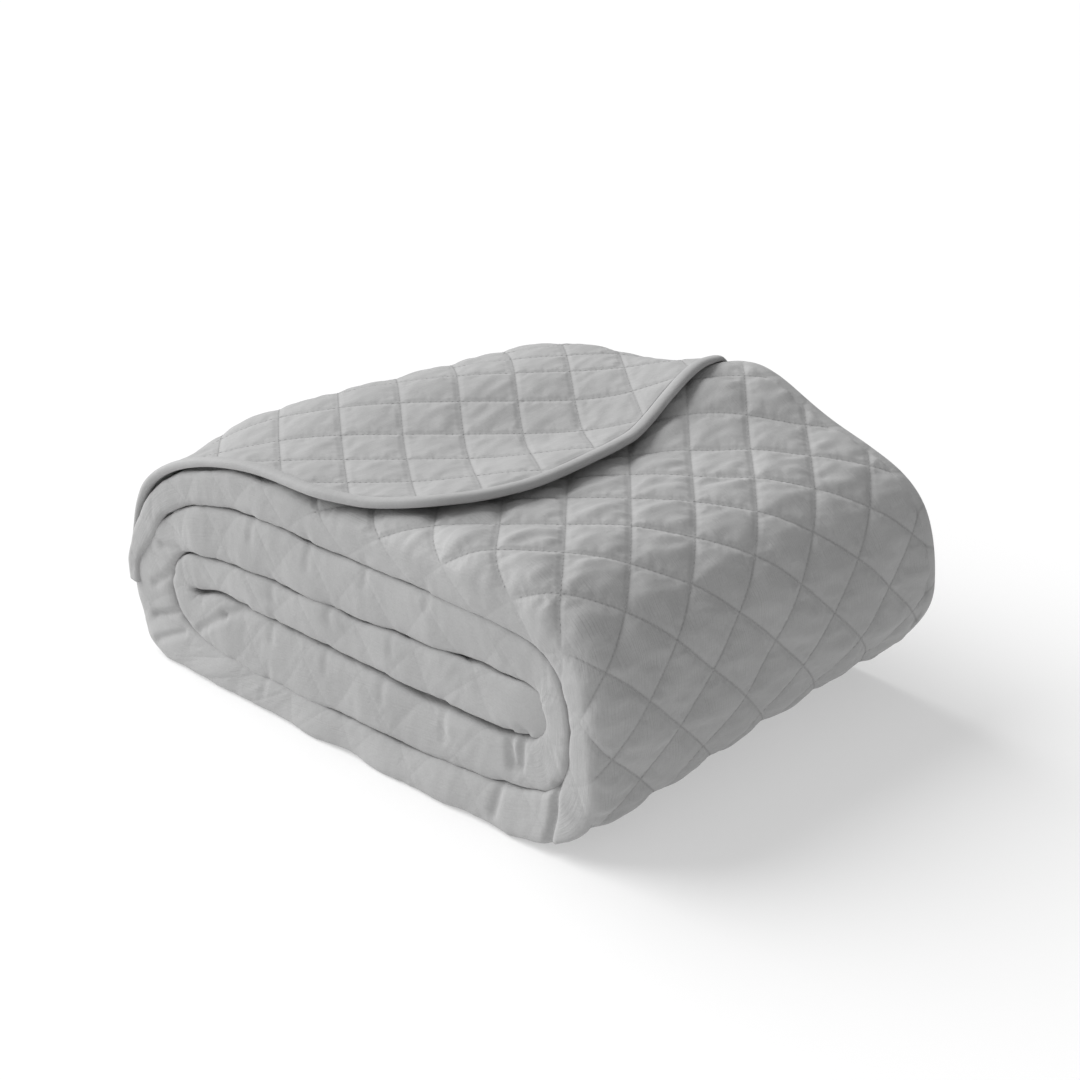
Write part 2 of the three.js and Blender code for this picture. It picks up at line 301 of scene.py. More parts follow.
@dataclass(frozen=True)
class RollForm:
    """Shape of the whole roll, from which every piece of cloth takes its place.

    Attributes:
        layer_gap: Air between two turns, mm, less than 0 where they press together.
        steady: Weight of the face's own way out against the way to the next turn, mm.
        thinnest: Least thickness of the strip, mm.
        merge: How far the last turn's end sinks into the turn under it, mm.
        front: Y of the front folds at the left end, mm.
        skew: How fast the rolled end runs back to the right.
        fold: How far the front folds round over, mm.
        soft_fold: The same on the right and the top, where the fold is full, mm.
        soft_from: Places over which the fold fills out.
        soft_to: Places over which it gets tight again.
        back: Y of the folds at the back, mm.
        back_fold: How far the back folds round over, mm.
        left: X of the left end, mm.
        blunt: Power of the front folds' outline, less where they are squarer.
        soft_blunt: The same where the fold is full.
        nose_length: Length of a fold's quarter against its reach and half its thickness.
        tuck: How far the right side curls under at the back, mm.
        tuck_z: Heights over which it does.
        tuck_x: X over which it does.
        lean: How far the left side leans in at the back, mm.
        lean_x: X over which it does.
        splay: How far the foot of the rolled end comes forward, mm.
        splay_z: Heights over which it does.
        dome: How much higher the top is where it is fullest, mm.
        dome_slant: Way along which it fills out, as (x, y).
        dome_on: Stretch of that way over which it does, mm.
        dome_y: Depths behind the front folds over which it does.
        dome_z: Heights over which it does.
        dome_fall: Share of the dome that is lost at the back on the left.
        fall_y: Depths over which it is lost.
        fall_x: X over which it is lost.
        hump: Rise under the flap's edge at the back, mm.
        hump_x: X of its middle, mm.
        hump_width: How far it spreads to each side, mm.
        hump_y: Depths over which it rises.
        hump_z: Heights over which it rises.
        lift: How far the flap's free edge stands off, mm.
        lift_x: X over which it does.
        lift_y: Depths over which it does.
        back_drop: How far the flap's back edge sinks, mm.
        drop_y: Depths over which it does.
        seam_x: X where two seams cross on the top, mm.
        seam_y: Y where they cross, mm.
        foot_middle: Middle of the ground that the roll covers, mm.
        step: Places between two points that give the way along a boundary line.
        line: All boundary lines, one after the other.
    """

    layer_gap: float = -1.0
    steady: float = 6.0
    thinnest: float = 3.0
    merge: float = 12.0
    front: float = -197.0
    skew: float = 0.075
    fold: float = 12.0
    soft_fold: float = 30.0
    soft_from: Span = Span(33.0, 34.2)
    soft_to: Span = Span(37.9, 37.0)
    back: float = 199.0
    back_fold: float = 15.0
    left: float = -255.0
    blunt: float = 0.42
    soft_blunt: float = 0.78
    nose_length: float = 0.9
    tuck: float = 34.0
    tuck_z: Span = Span(95, 0)
    tuck_x: Span = Span(90, 240)
    lean: float = 24.0
    lean_x: Span = Span(40, -140)
    splay: float = 10.0
    splay_z: Span = Span(35, 0)
    dome: float = 23.0
    dome_slant: tuple[float, float] = (-0.76, 0.65)
    dome_on: Span = Span(-28, 104)
    dome_y: Span = Span(0, 90)
    dome_z: Span = Span(60, 150)
    dome_fall: float = 0.65
    fall_y: Span = Span(145, 205)
    fall_x: Span = Span(110, -20)
    hump: float = 19.0
    hump_x: float = 72.0
    hump_width: float = 58.0
    hump_y: Span = Span(40, 150)
    hump_z: Span = Span(140, 190)
    lift: float = 5.0
    lift_x: Span = Span(20, 80)
    lift_y: Span = Span(180, 90)
    back_drop: float = 9.0
    drop_y: Span = Span(180, 198)
    seam_x: float = 81.0
    seam_y: float = 44.0
    foot_middle: tuple[float, float] = (1.6, 1.45)
    step: float = 1e-3
    line: SmoothLine = field(
        default_factory=lambda: SmoothLine(
            np.array(
                [
                    row[1 + turn.value]
                    for turn in Turn
                    for row in TURN_ROWS
                    if len(row) > 1 + turn.value
                ],
                float,
            )
        )
    )

    @property
    def places(self) -> int:
        """Places round one turn."""
        return len(TURN_ROWS)

    @property
    def top(self) -> int:
        """Place where the last turn begins, at the top right."""
        return Turn.THIRD.value * self.places

    def front_at(self, x: Array) -> Array:
        """Y of the front folds at an x."""
        return self.front + self.skew * (x - self.left)

    def boundary(self, place: Array) -> Array:
        """Points of the line between two turns, never below the floor.

        Args:
            place: Places along the line.

        Returns:
            The points, as (x, z), mm.
        """
        point = self.line.at(place)
        point[..., 1] = np.maximum(point[..., 1], 0)
        return point

    def layer(self, place: Array) -> Layer:
        """The strip between two boundary lines.

        Args:
            place: Places along the strip.

        Returns:
            Its inner face, way out and thickness there.
        """
        outer = self.boundary(place)
        reach = outer - self.boundary(place - self.places)
        out = unit(reach + self.steady * self.way_out(place))
        thick = np.maximum(np.linalg.norm(reach, axis=-1) - self.layer_gap, self.thinnest)
        return Layer(outer - out * thick[..., None], out, thick)

    def way_out(self, place: Array) -> Array:
        """Direction (x, z) straight out of the last turn."""
        along = unit(self.line.at(place + self.step) - self.line.at(place - self.step))
        return np.stack([along[..., 1], -along[..., 0]], axis=-1)

    def over_top(self, place: Array, y: Array, height: Array) -> Array:
        """Points over the last turn.

        Args:
            place: Places along the strip.
            y: Depth, mm.
            height: Height over the turn's face, mm.

        Returns:
            The points after the roll has settled.
        """
        point = self.boundary(place)
        stand = self.lift * self.lift_x.at(point[..., 0]) * self.lift_y.at(y) + height
        stand = stand - self.back_drop * self.drop_y.at(y)
        point = point + self.way_out(place) * stand[..., None]
        return self.settle(point[..., 0], y, point[..., 1])

    def softness(self, place: Array) -> Array:
        """0 where the front fold is tight, 1 where it is full."""
        return self.soft_from.at(place) * self.soft_to.at(place)

    def nose_tilt(self, arc: Array, blunt: Array) -> Array:
        """Angle round a blunt fold, at an even share of its length.

        Args:
            arc: Quarters of the fold, 0 on the outer face and 2 on the inner one.
            blunt: Power of the fold's outline.

        Returns:
            The angle, 0 to half a turn.
        """
        quarter = np.where(arc < 1, arc, 2 - arc)
        half = np.minimum(quarter, 1 - quarter)
        share = 0.5 * np.power(2 * half, 1 / blunt)
        turned = np.where(quarter < 0.5, share, 1 - share)
        return np.where(arc < 1, turned, 2 - turned) * math.pi / 2

    def settle(self, x: Array, y: Array, z: Array) -> Array:
        """Lie of the whole roll, and its place on the floor.

        The right side curls under and the left shoulder leans in towards the
        back, and the top is fullest behind the front edge.

        Args:
            x: X of the points before they settle, mm.
            y: Y of the points, mm.
            z: Z of the points, mm.

        Returns:
            The points, along one more axis.
        """
        deep = Span(self.front, self.back).at(y)
        slant = x * self.dome_slant[0] + y * self.dome_slant[1]
        tuck = self.tuck * deep * self.tuck_z.at(z) * self.tuck_x.at(x)
        lean = self.lean * deep * self.lean_x.at(x)
        fall = self.dome_fall * self.fall_y.at(y) * self.fall_x.at(x)
        dome = self.dome_on.at(slant) * self.dome_y.at(y - self.front_at(x)) * (1 - fall)
        hump = self.hump * bell((x - self.hump_x) / self.hump_width) * self.hump_y.at(y)
        rise = self.dome * dome * self.dome_z.at(z) + hump * self.hump_z.at(z)
        x = x + lean - tuck - self.foot_middle[0]
        y = y - self.splay * self.splay_z.at(z) * (1 - deep) - self.foot_middle[1]
        z = np.maximum(0, z + rise)
        return np.stack(np.broadcast_arrays(x, y, z), axis=-1)


# ------------------------------------------------------- relief of the quilting


@dataclass(frozen=True)
class StitchedPatch:
    """Some stitched squares of cloth, filled and let go in a cloth simulation.

    The cloth is held along its seams, is a little longer than they are and is
    pressed up from below, so that it swells and gathers beside the stitches.

    Attributes:
        squares: Squares along each side of the patch.
        cells: Mesh cells along one square.
        side: Side of one square in the simulation, m, large enough to be stable.
        slack: How much longer the cloth is than its seams.
        fill: Push of the filling.
        bending: Stiffness of the cloth and its filling against bends.
        stretching: Stiffness of the cloth against pull and push.
        shearing: Stiffness of the cloth on the slant.
        damping: How fast the threads lose their swing.
        drag: How fast the air slows the cloth.
        weight: Weight of a mesh point, kg.
        quality: Steps of the simulation to a frame.
        frames: Frames that it is given to come to rest.
        unevenness: Height of its points at the start, as a share of a square's side.
        seed: Which of the possible patches this is.
    """

    squares: int = 4
    cells: int = 24
    side: float = 0.45
    slack: float = 0.05
    fill: float = 2.0
    bending: float = 2.0
    stretching: float = 15.0
    shearing: float = 5.0
    damping: float = 10.0
    drag: float = 2.0
    weight: float = 0.3
    quality: int = 6
    frames: int = 40
    unevenness: float = 0.002
    seed: int = 7

    def relief(self) -> Array:
        """Runs the simulation.

        Returns:
            Height of the cloth at each point, 0 on the seams and about 1 in mid square.
        """
        count = self.squares * self.cells + 1
        line = np.linspace(0, self.squares * self.side, count)
        x, y = np.meshgrid(line, line, indexing="ij")
        z = np.random.default_rng(self.seed).normal(size=x.shape) * self.side * self.unevenness
        seam = np.arange(count) % self.cells == 0
        held = seam[:, None] | seam[None]
        z[held] = 0
        number = np.arange(count * count).reshape(count, count)
        corners = [number[:-1, :-1], number[1:, :-1], number[1:, 1:], number[:-1, 1:]]
        faces = np.stack(corners, -1).reshape(-1, 4)
        mesh = bpy.data.meshes.new("stitched_patch")
        mesh.from_pydata(np.stack([x, y, z], -1).reshape(-1, 3).tolist(), [], faces.tolist())
        patch = bpy.data.objects.new("stitched_patch", mesh)
        bpy.context.scene.collection.objects.link(patch)
        seams = patch.vertex_groups.new(name="seams")
        seams.add([int(k) for k in number[held]], 1.0, "REPLACE")
        self._cloth(patch, seams.name)
        for frame_number in range(1, self.frames + 1):
            bpy.context.scene.frame_set(frame_number)
        settled = patch.evaluated_get(bpy.context.evaluated_depsgraph_get()).to_mesh()
        places = np.empty(count * count * 3)
        settled.vertices.foreach_get("co", places)
        bpy.data.objects.remove(patch)
        bpy.context.scene.frame_set(1)
        height = places.reshape(count, count, 3)[..., 2]
        middle = height[self.cells // 2 :: self.cells, self.cells // 2 :: self.cells].mean()
        return height / middle

    def _cloth(self, patch: bpy.types.Object, seams: str) -> None:
        """Puts the simulation on the patch.

        Args:
            patch: The patch.
            seams: Name of the group of points that the stitches hold.
        """
        cloth = patch.modifiers.new("cloth", "CLOTH")
        settings = cloth.settings
        settings.quality = self.quality
        settings.mass = self.weight
        settings.air_damping = self.drag
        settings.tension_stiffness = settings.compression_stiffness = self.stretching
        settings.shear_stiffness = self.shearing
        settings.tension_damping = settings.compression_damping = self.damping
        settings.shear_damping = self.damping
        settings.bending_stiffness = self.bending
        settings.vertex_group_mass = seams
        settings.shrink_min = -self.slack
        settings.use_pressure = True
        settings.uniform_pressure_force = self.fill
        settings.effector_weights.gravity = 0
        cloth.collision_settings.use_collision = False
        cloth.point_cache.frame_start, cloth.point_cache.frame_end = 1, self.frames


@dataclass(frozen=True)
class Quilting:
    """Seams on two slants, with a puff of filling in each diamond.

    Attributes:
        relief: Height of a simulated patch, 0 on its seams and 1 in mid square.
        cells: Points of the patch to a square.
        square: Side of one stitched square, mm.
        groove: Depth of a seam below the puffs, mm.
        crinkle: Height of the creases that washing leaves, mm.
        creases: Field of those creases.
        crease_start: How far from a seam they have their full height, mm.
    """

    relief: Array
    cells: int
    square: float = 45.0
    groove: float = 3.8
    crinkle: float = 0.8
    creases: Ripples = Ripples(24, 5, 2.2)
    crease_start: float = 9.0

    @property
    def diagonal(self) -> float:
        """From corner to corner of a stitched square, mm."""
        return self.square * math.sqrt(2)

    def lattice(self, s: Array, t: Array) -> tuple[Array, Array]:
        """Squares counted along both slants, at a length and a depth, whole on the seams."""
        return (s + t) / self.diagonal, (s - t) / self.diagonal

    def puff(self, a: Array, b: Array) -> Array:
        """Height of the simulated patch, which repeats over the cloth.

        Args:
            a: Squares along one slant.
            b: Squares along the other.

        Returns:
            0 on a seam and about 1 in mid square.
        """
        size = len(self.relief) - 1
        u, v = np.mod(a * self.cells, size), np.mod(b * self.cells, size)
        i, j = np.minimum(u.astype(int), size - 1), np.minimum(v.astype(int), size - 1)
        p, q = u - i, v - j
        near = self.relief[i, j] * (1 - p) + self.relief[i + 1, j] * p
        far = self.relief[i, j + 1] * (1 - p) + self.relief[i + 1, j + 1] * p
        return near * (1 - q) + far * q

    def sunk(self, a: Array, b: Array) -> Array:
        """Depth below the fullest puff.

        Args:
            a: Squares along one slant.
            b: Squares along the other.

        Returns:
            The depth, mm.
        """
        away = np.minimum(np.abs(a - np.round(a)), np.abs(b - np.round(b))) * self.square
        u, v = a * self.square, b * self.square
        creases = self.creases.at(u + v, u - v) * ease(away / self.crease_start)
        return self.groove * (1 - self.puff(a, b)) - self.crinkle * creases


# ------------------------------------------------------------------- meshes


def piece_from(
    name: str, points: Array, faces: Array, lattice: Array | None = None
) -> bpy.types.Object:
    """Makes a closed, smooth piece in the row frame.

    Points that fall together are joined and flat faces between them left out.

    Args:
        name: Name of the piece.
        points: Points, mm.
        faces: Triangles, as numbers of points.
        lattice: Squares counted along both slants at each point, and how clear the
            seams are there.

    Returns:
        The piece, at the origin.
    """
    rounded = np.round(points, JOIN_DECIMALS)
    _, first, joined = np.unique(rounded, axis=0, return_index=True, return_inverse=True)
    faces = joined.reshape(-1)[faces]
    real = (faces != np.roll(faces, 1, axis=1)).all(axis=1)
    faces, points = faces[real], points[first]
    mesh = bpy.data.meshes.new(name)
    mesh.vertices.add(len(points))
    mesh.vertices.foreach_set("co", (points * MM).astype(np.float32).ravel())
    mesh.loops.add(faces.size)
    mesh.loops.foreach_set("vertex_index", faces.astype(np.int32).ravel())
    mesh.polygons.add(len(faces))
    mesh.polygons.foreach_set("loop_start", np.arange(0, faces.size, 3, dtype=np.int32))
    mesh.polygons.foreach_set("use_smooth", np.ones(len(faces), bool))
    if lattice is not None:
        corners = lattice[first][faces.ravel()].astype(np.float32)
        mesh.uv_layers.new(name="squares").data.foreach_set("uv", corners[:, :2].ravel())
        mesh.uv_layers.new(name="seams").data.foreach_set("uv", corners[:, [2, 2]].ravel())
    mesh.update(calc_edges=True)
    mesh.validate()
    piece = bpy.data.objects.new(name, mesh)
    bpy.context.scene.collection.objects.link(piece)
    return piece


def ring_faces(rows: int, columns: int, odd: int = 0) -> Array:
    """Triangles of a tube of closed rings, with diagonals along both slants.

    Args:
        rows: Points in a ring.
        columns: Rings.
        odd: 1 where the first diagonal runs the other way.

    Returns:
        The triangles, as numbers of points.
    """
    i, j = np.meshgrid(np.arange(columns - 1), np.arange(rows), indexing="ij")
    after = (j + 1) % rows
    a, b = i * rows + j, (i + 1) * rows + j
    c, d = (i + 1) * rows + after, i * rows + after
    even = ((i - j + odd) % 2 == 0)[..., None]
    one = np.where(even, np.stack([a, c, b], -1), np.stack([a, d, b], -1))
    two = np.where(even, np.stack([a, d, c], -1), np.stack([b, d, c], -1))
    return np.concatenate([one.reshape(-1, 3), two.reshape(-1, 3)])


def closed_tube(rings: Array, odd: int = 0) -> tuple[Array, Array]:
    """Tube of rings with both ends closed to their middles.

    Args:
        rings: Points as (ring, point, axis), mm.
        odd: 1 where the first diagonal runs the other way.

    Returns:
        Points, and triangles as numbers of points.
    """
    columns, rows = rings.shape[:2]
    ends = rings[[0, -1]].mean(1)
    points = np.concatenate([rings.reshape(-1, 3), ends])
    j = np.arange(rows)
    after, last = (j + 1) % rows, (columns - 1) * rows
    start = np.stack([np.full(rows, columns * rows), after, j], -1)
    end = np.stack([np.full(rows, columns * rows + 1), last + j, last + after], -1)
    return points, np.concatenate([ring_faces(rows, columns, odd), start, end])


def closed_sheet(upper: Array, under: Array) -> tuple[Array, Array]:
    """Cloth between two nets of points, closed along its four edges.

    Args:
        upper: Points of the upper face as (column, row, axis), mm.
        under: Points of the lower face, in the same order.

    Returns:
        Points, and triangles as numbers of points, with their faces outward.
    """
    columns, rows = upper.shape[:2]
    number = np.arange(columns * rows).reshape(columns, rows)
    a, b, c, d = number[:-1, :-1], number[1:, :-1], number[1:, 1:], number[:-1, 1:]
    net = np.concatenate([np.stack(three, -1).reshape(-1, 3) for three in ((a, b, c), (a, c, d))])
    rim = np.concatenate([number[:-1, 0], number[-1, :-1], number[:0:-1, -1], number[0, :0:-1]])
    after, below = np.roll(rim, -1), columns * rows
    near = np.stack([after, rim, rim + below], -1)
    far = np.stack([after, rim + below, after + below], -1)
    faces = np.concatenate([net, net[:, ::-1] + below, near, far])
    points = np.concatenate([upper.reshape(-1, 3), under.reshape(-1, 3)])
    one, two, three = (points[faces[:, k]] for k in range(3))
    volume = np.einsum("ij,ij->", one, np.cross(two, three))
    return points, faces if volume > 0 else faces[:, ::-1]


# ----------------------------------------------------------------- node maths


class Sock:
    """A socket of a node tree that takes part in sums."""

    def __init__(self, tree: bpy.types.NodeTree, socket: bpy.types.NodeSocket) -> None:
        """Keeps an output socket and the tree that it is in."""
        self.tree, self.socket = tree, socket

    def _math(self, kind: str, *values: "Sock | float") -> "Sock":
        """Adds a Math node on values."""
        return node(self.tree, "ShaderNodeMath", {"operation": kind}, dict(enumerate(values)))

    def __add__(self, other: "Sock | float") -> "Sock":
        """Sum."""
        return self._math("ADD", self, other)

    def __radd__(self, other: float) -> "Sock":
        """Sum with a number first."""
        return self._math("ADD", other, self)

    def __sub__(self, other: "Sock | float") -> "Sock":
        """Difference."""
        return self._math("SUBTRACT", self, other)

    def __rsub__(self, other: float) -> "Sock":
        """Difference with a number first."""
        return self._math("SUBTRACT", other, self)

    def __mul__(self, other: "Sock | float") -> "Sock":
        """Product."""
        return self._math("MULTIPLY", self, other)

    def __rmul__(self, other: float) -> "Sock":
        """Product with a number first."""
        return self._math("MULTIPLY", other, self)

    def least(self, other: "Sock | float") -> "Sock":
        """The lesser of two values."""
        return self._math("MINIMUM", self, other)

    def swing(self, far: float) -> "Sock":
        """The value's way from 0 up to far and back, again and again."""
        return self._math("PINGPONG", self, far)

    def ramp(self, low: float, high: float, first: float = 0.0, last: float = 1.0) -> "Sock":
        """Smooth change from one value to another.

        Args:
            low: Where it begins.
            high: Where it ends.
            first: Value up to low.
            last: Value from high on.

        Returns:
            The changed value.
        """
        kind = {"interpolation_type": "SMOOTHSTEP"}
        values = {"Value": self, "From Min": low, "From Max": high, "To Min": first, "To Max": last}
        return node(self.tree, "ShaderNodeMapRange", kind, values)


def node(
    tree: bpy.types.NodeTree,
    kind: str,
    settings: dict[str, object] | None = None,
    values: dict[str | int, object] | None = None,
    out: str | int = 0,
) -> Sock | None:
    """Adds a node, sets it up and joins it.

    Args:
        tree: The tree that the node goes in.
        kind: The node's type.
        settings: The node's own properties, which are set first.
        values: Numbers or links for its sockets, by name or number.
        out: Which output is given back.

    Returns:
        That output, or None where the node has none.
    """
    made = tree.nodes.new(kind)
    for name, value in (settings or {}).items():
        setattr(made, name, value)
    for name, value in (values or {}).items():
        socket = made.inputs[name]
        if isinstance(value, Sock):
            tree.links.new(value.socket, socket)
        else:
            socket.default_value = value
    return Sock(tree, made.outputs[out]) if len(made.outputs) else None


def mixed(tree: bpy.types.NodeTree, factor: Sock | float, one: object, two: object) -> Sock:
    """Colour between two colours.

    Args:
        tree: The tree.
        factor: 0 for the first colour and 1 for the second.
        one: First colour or link.
        two: Second colour or link.

    Returns:
        The mixed colour.
    """
    # Inputs 6 and 7 and output 2 are those for colours
    return node(tree, "ShaderNodeMix", {"data_type": "RGBA"}, {0: factor, 6: one, 7: two}, out=2)


def noise(
    tree: bpy.types.NodeTree, spot: Sock, scale: float, detail: float, bent: float = 0.0
) -> Sock:
    """Soft unevenness over a surface.

    Args:
        tree: The tree.
        spot: Place on the surface.
        scale: Waves to a unit of the place.
        detail: Finer layers of waves.
        bent: How far the waves are bent out of their way.

    Returns:
        The unevenness, 0 to 1.
    """
    values = {"Vector": spot, "Scale": scale, "Detail": detail, "Distortion": bent}
    return node(tree, "ShaderNodeTexNoise", {}, values)


def spot_at(tree: bpy.types.NodeTree, x: Sock, y: Sock) -> Sock:
    """Place with the given first two values."""
    return node(tree, "ShaderNodeCombineXYZ", {}, {0: x, 1: y, 2: 0.0})


def new_material(name: str) -> bpy.types.Material:
    """Makes a material with an empty node tree.

    Args:
        name: Its name.

    Returns:
        The material.
    """
    material = bpy.data.materials.new(name)
    material.use_nodes = True
    material.node_tree.nodes.clear()
    return material


def shade(level: float) -> tuple[float, float, float, float]:
    """Grey of a brightness."""
    return (level, level, level, 1.0)


@dataclass(frozen=True)
class ClothFinish:
    """Washed, brushed cotton-like cloth with a fine plain weave.

    Attributes:
        name: Name of the material.
        level: Brightness of the cloth.
        seam_shade_level: Brightness of the painted shade in the seam grooves.
        quilted: True where the cloth has the quilting's own map.
        seam_shade_width: Squares over which a seam is darkened with painted shade.
        crease_width: Squares over which the cloth sinks into it.
        crease_depth: How deep it sinks there.
        blotch: Waves of the spots that washing leaves, to a metre.
        slub: Waves of the thicker yarns, to a metre.
        slub_turn: Turn of those yarns.
        slub_stretch: Their shape, less where they run longer.
        grain: Waves of the weave, to a metre.
        crush: Waves of the crushed surface, to a metre.
        crush_bent: How far those waves are bent.
        tones: Shares of blotch, slub and grain in the colour.
        heights: Shares of crush, slub and grain in the relief.
        dark: Darkest tone, as a share of the level.
        light: Lightest tone, as a share of the level.
        puckers: Height of the gathers beside the seams.
        pucker_waves: Waves of the gathers along a seam and across it, to a square.
        pucker_width: Squares over which they fade.
        yarn_waves: Waves of the streaks across the strip and along it, for each
            difference and sum of the squares' counts.
        streaks: Height of the streaks where the seams are flat.
        open_streaks: How much more it is where they are clear.
        bump: Strength of the relief.
        relief: Height of the relief, m.
        rough: Roughness of the darkest and of the lightest tone.
        gloss: Mirror share and sheen of the cloth.
        sheen_rough: Roughness of the sheen.
    """

    name: str = "washed_quilt_cloth"
    level: float = 0.362
    seam_shade_level: float = 0.30
    quilted: bool = True
    seam_shade_width: float = 0.035
    crease_width: float = 0.11
    crease_depth: float = 0.9
    blotch: float = 26.0
    slub: float = 620.0
    slub_turn: tuple[float, float, float] = (0.2, 0.3, 0.78)
    slub_stretch: tuple[float, float, float] = (1.0, 0.18, 1.0)
    grain: float = 1500.0
    crush: float = 95.0
    crush_bent: float = 0.8
    tones: tuple[float, float, float] = (0.5, 0.3, 0.2)
    heights: tuple[float, float, float] = (0.55, 0.16, 0.12)
    dark: float = 0.93
    light: float = 1.06
    puckers: float = 0.8
    pucker_waves: tuple[float, float] = (9.9, 1.98)
    pucker_width: float = 0.26
    yarn_waves: tuple[float, float] = (22.0, 1.1)
    streaks: float = 0.4
    open_streaks: float = 0.3
    bump: float = 0.55
    relief: float = 0.0011
    rough: tuple[float, float] = (0.88, 0.98)
    gloss: float = 0.22
    sheen_rough: float = 0.55

    def build(self) -> bpy.types.Material:
        """Makes the material.

        Returns:
            The material.
        """
        material = new_material(self.name)
        tree = material.node_tree
        place = node(tree, "ShaderNodeTexCoord", out="Object")
        turned = {"Vector": place, "Rotation": self.slub_turn, "Scale": self.slub_stretch}
        yarns = node(tree, "ShaderNodeMapping", {"vector_type": "POINT"}, turned)
        blotch = noise(tree, place, self.blotch, 3.0)
        slub = noise(tree, yarns, self.slub, 2.0)
        grain = noise(tree, place, self.grain, 2.0)
        crush = noise(tree, place, self.crush, 4.0, self.crush_bent)
        tone = blotch * self.tones[0] + slub * self.tones[1] + grain * self.tones[2]
        dark, light = shade(self.level * self.dark), shade(self.level * self.light)
        colour = mixed(tree, tone.ramp(0.3, 0.7), dark, light)
        height = crush * self.heights[0] + slub * self.heights[1] + grain * self.heights[2]
        if self.quilted:
            # Painted shade: the cloth colour is darkened along the seam grooves, where shade falls
            colour = mixed(tree, self._seam(tree, self.seam_shade_width), colour, shade(self.seam_shade_level))
            crease = self._seam(tree, self.crease_width) * self.crease_depth
            height = height + self._puckers(tree) * self.puckers - crease
            clear = self._map(tree, "seams")[0]
            height = height + self._streaks(tree) * (clear * self.open_streaks + self.streaks)
        relief = {"Height": height, "Strength": self.bump, "Distance": self.relief}
        skin = {
            "Base Color": colour,
            "Roughness": tone.ramp(0.2, 0.8, *self.rough),
            "Normal": node(tree, "ShaderNodeBump", {}, relief),
            "Specular IOR Level": self.gloss,
            "Sheen Weight": self.gloss,
            "Sheen Roughness": self.sheen_rough,
        }
        surface = node(tree, "ShaderNodeBsdfPrincipled", {}, skin)
        node(tree, "ShaderNodeOutputMaterial", {}, {"Surface": surface})
        return material

    def _map(self, tree: bpy.types.NodeTree, name: str) -> tuple[Sock, Sock]:
        """Reads one of the mesh's maps.

        Args:
            tree: The tree.
            name: Name of the map.

        Returns:
            Its two values.
        """
        spot = node(tree, "ShaderNodeUVMap", {"uv_map": name})
        parts = tree.nodes.new("ShaderNodeSeparateXYZ")
        tree.links.new(spot.socket, parts.inputs[0])
        return Sock(tree, parts.outputs[0]), Sock(tree, parts.outputs[1])

    def _away(self, squares: Sock) -> Sock:
        """How far a point is from the nearest seam, in squares."""
        return squares.swing(0.5)

    def _seam(self, tree: bpy.types.NodeTree, width: float) -> Sock:
        """Marks the seams, for the painted shade in them and for their sunk creases.

        Args:
            tree: The tree.
            width: Squares over which the mark fades.

        Returns:
            1 on a seam, 0 at that width away from it.
        """
        a, b = self._map(tree, "squares")
        clear = self._map(tree, "seams")[0]
        return self._away(a).least(self._away(b)).ramp(0.0, width, 1.0, 0.0) * clear

    def _streaks(self, tree: bpy.types.NodeTree) -> Sock:
        """Makes the thicker yarns of the weave, which run along the strip.

        Args:
            tree: The tree.

        Returns:
            Their height, 0 to 1.
        """
        a, b = self._map(tree, "squares")
        across, along = self.yarn_waves
        return noise(tree, spot_at(tree, (a - b) * across, (a + b) * along), 1.0, 1.0)

    def _puckers(self, tree: bpy.types.NodeTree) -> Sock:
        """Makes the fine gathers that cross the seams.

        Args:
            tree: The tree.

        Returns:
            Their height, 0 away from the seams.
        """
        a, b = self._map(tree, "squares")
        parts = []
        for across, along in ((a, b), (b, a)):
            spot = spot_at(tree, along * self.pucker_waves[0], across * self.pucker_waves[1])
            near = self._away(across).ramp(0.0, self.pucker_width, 1.0, 0.0)
            parts.append(noise(tree, spot, 1.0, 2.0) * near)
        return parts[0] + parts[1]


@dataclass(frozen=True)
class ThreadFinish:
    """Matt sewing thread, a little darker than the cloth.

    Attributes:
        name: Name of the material.
        level: Brightness of the thread.
        spread: Share by which it is darker and lighter in its turns.
        twist: Waves of those turns, to a metre.
        rough: Its roughness.
        sheen: Its sheen.
    """

    name: str = "sewing_thread"
    level: float = 0.33
    spread: float = 0.15
    twist: float = 900.0
    rough: float = 0.8
    sheen: float = 0.1

    def build(self) -> bpy.types.Material:
        """Makes the material.

        Returns:
            The material.
        """
        material = new_material(self.name)
        tree = material.node_tree
        twist = noise(tree, node(tree, "ShaderNodeTexCoord", out="Object"), self.twist, 1.0)
        dark, light = shade(self.level * (1 - self.spread)), shade(self.level * (1 + self.spread))
        colour = mixed(tree, twist.ramp(0.3, 0.7), dark, light)
        skin = {"Base Color": colour, "Roughness": self.rough, "Sheen Weight": self.sheen}
        surface = node(tree, "ShaderNodeBsdfPrincipled", {}, skin)
        node(tree, "ShaderNodeOutputMaterial", {}, {"Surface": surface})
        return material


# -------------------------------------------------------------------- stitches


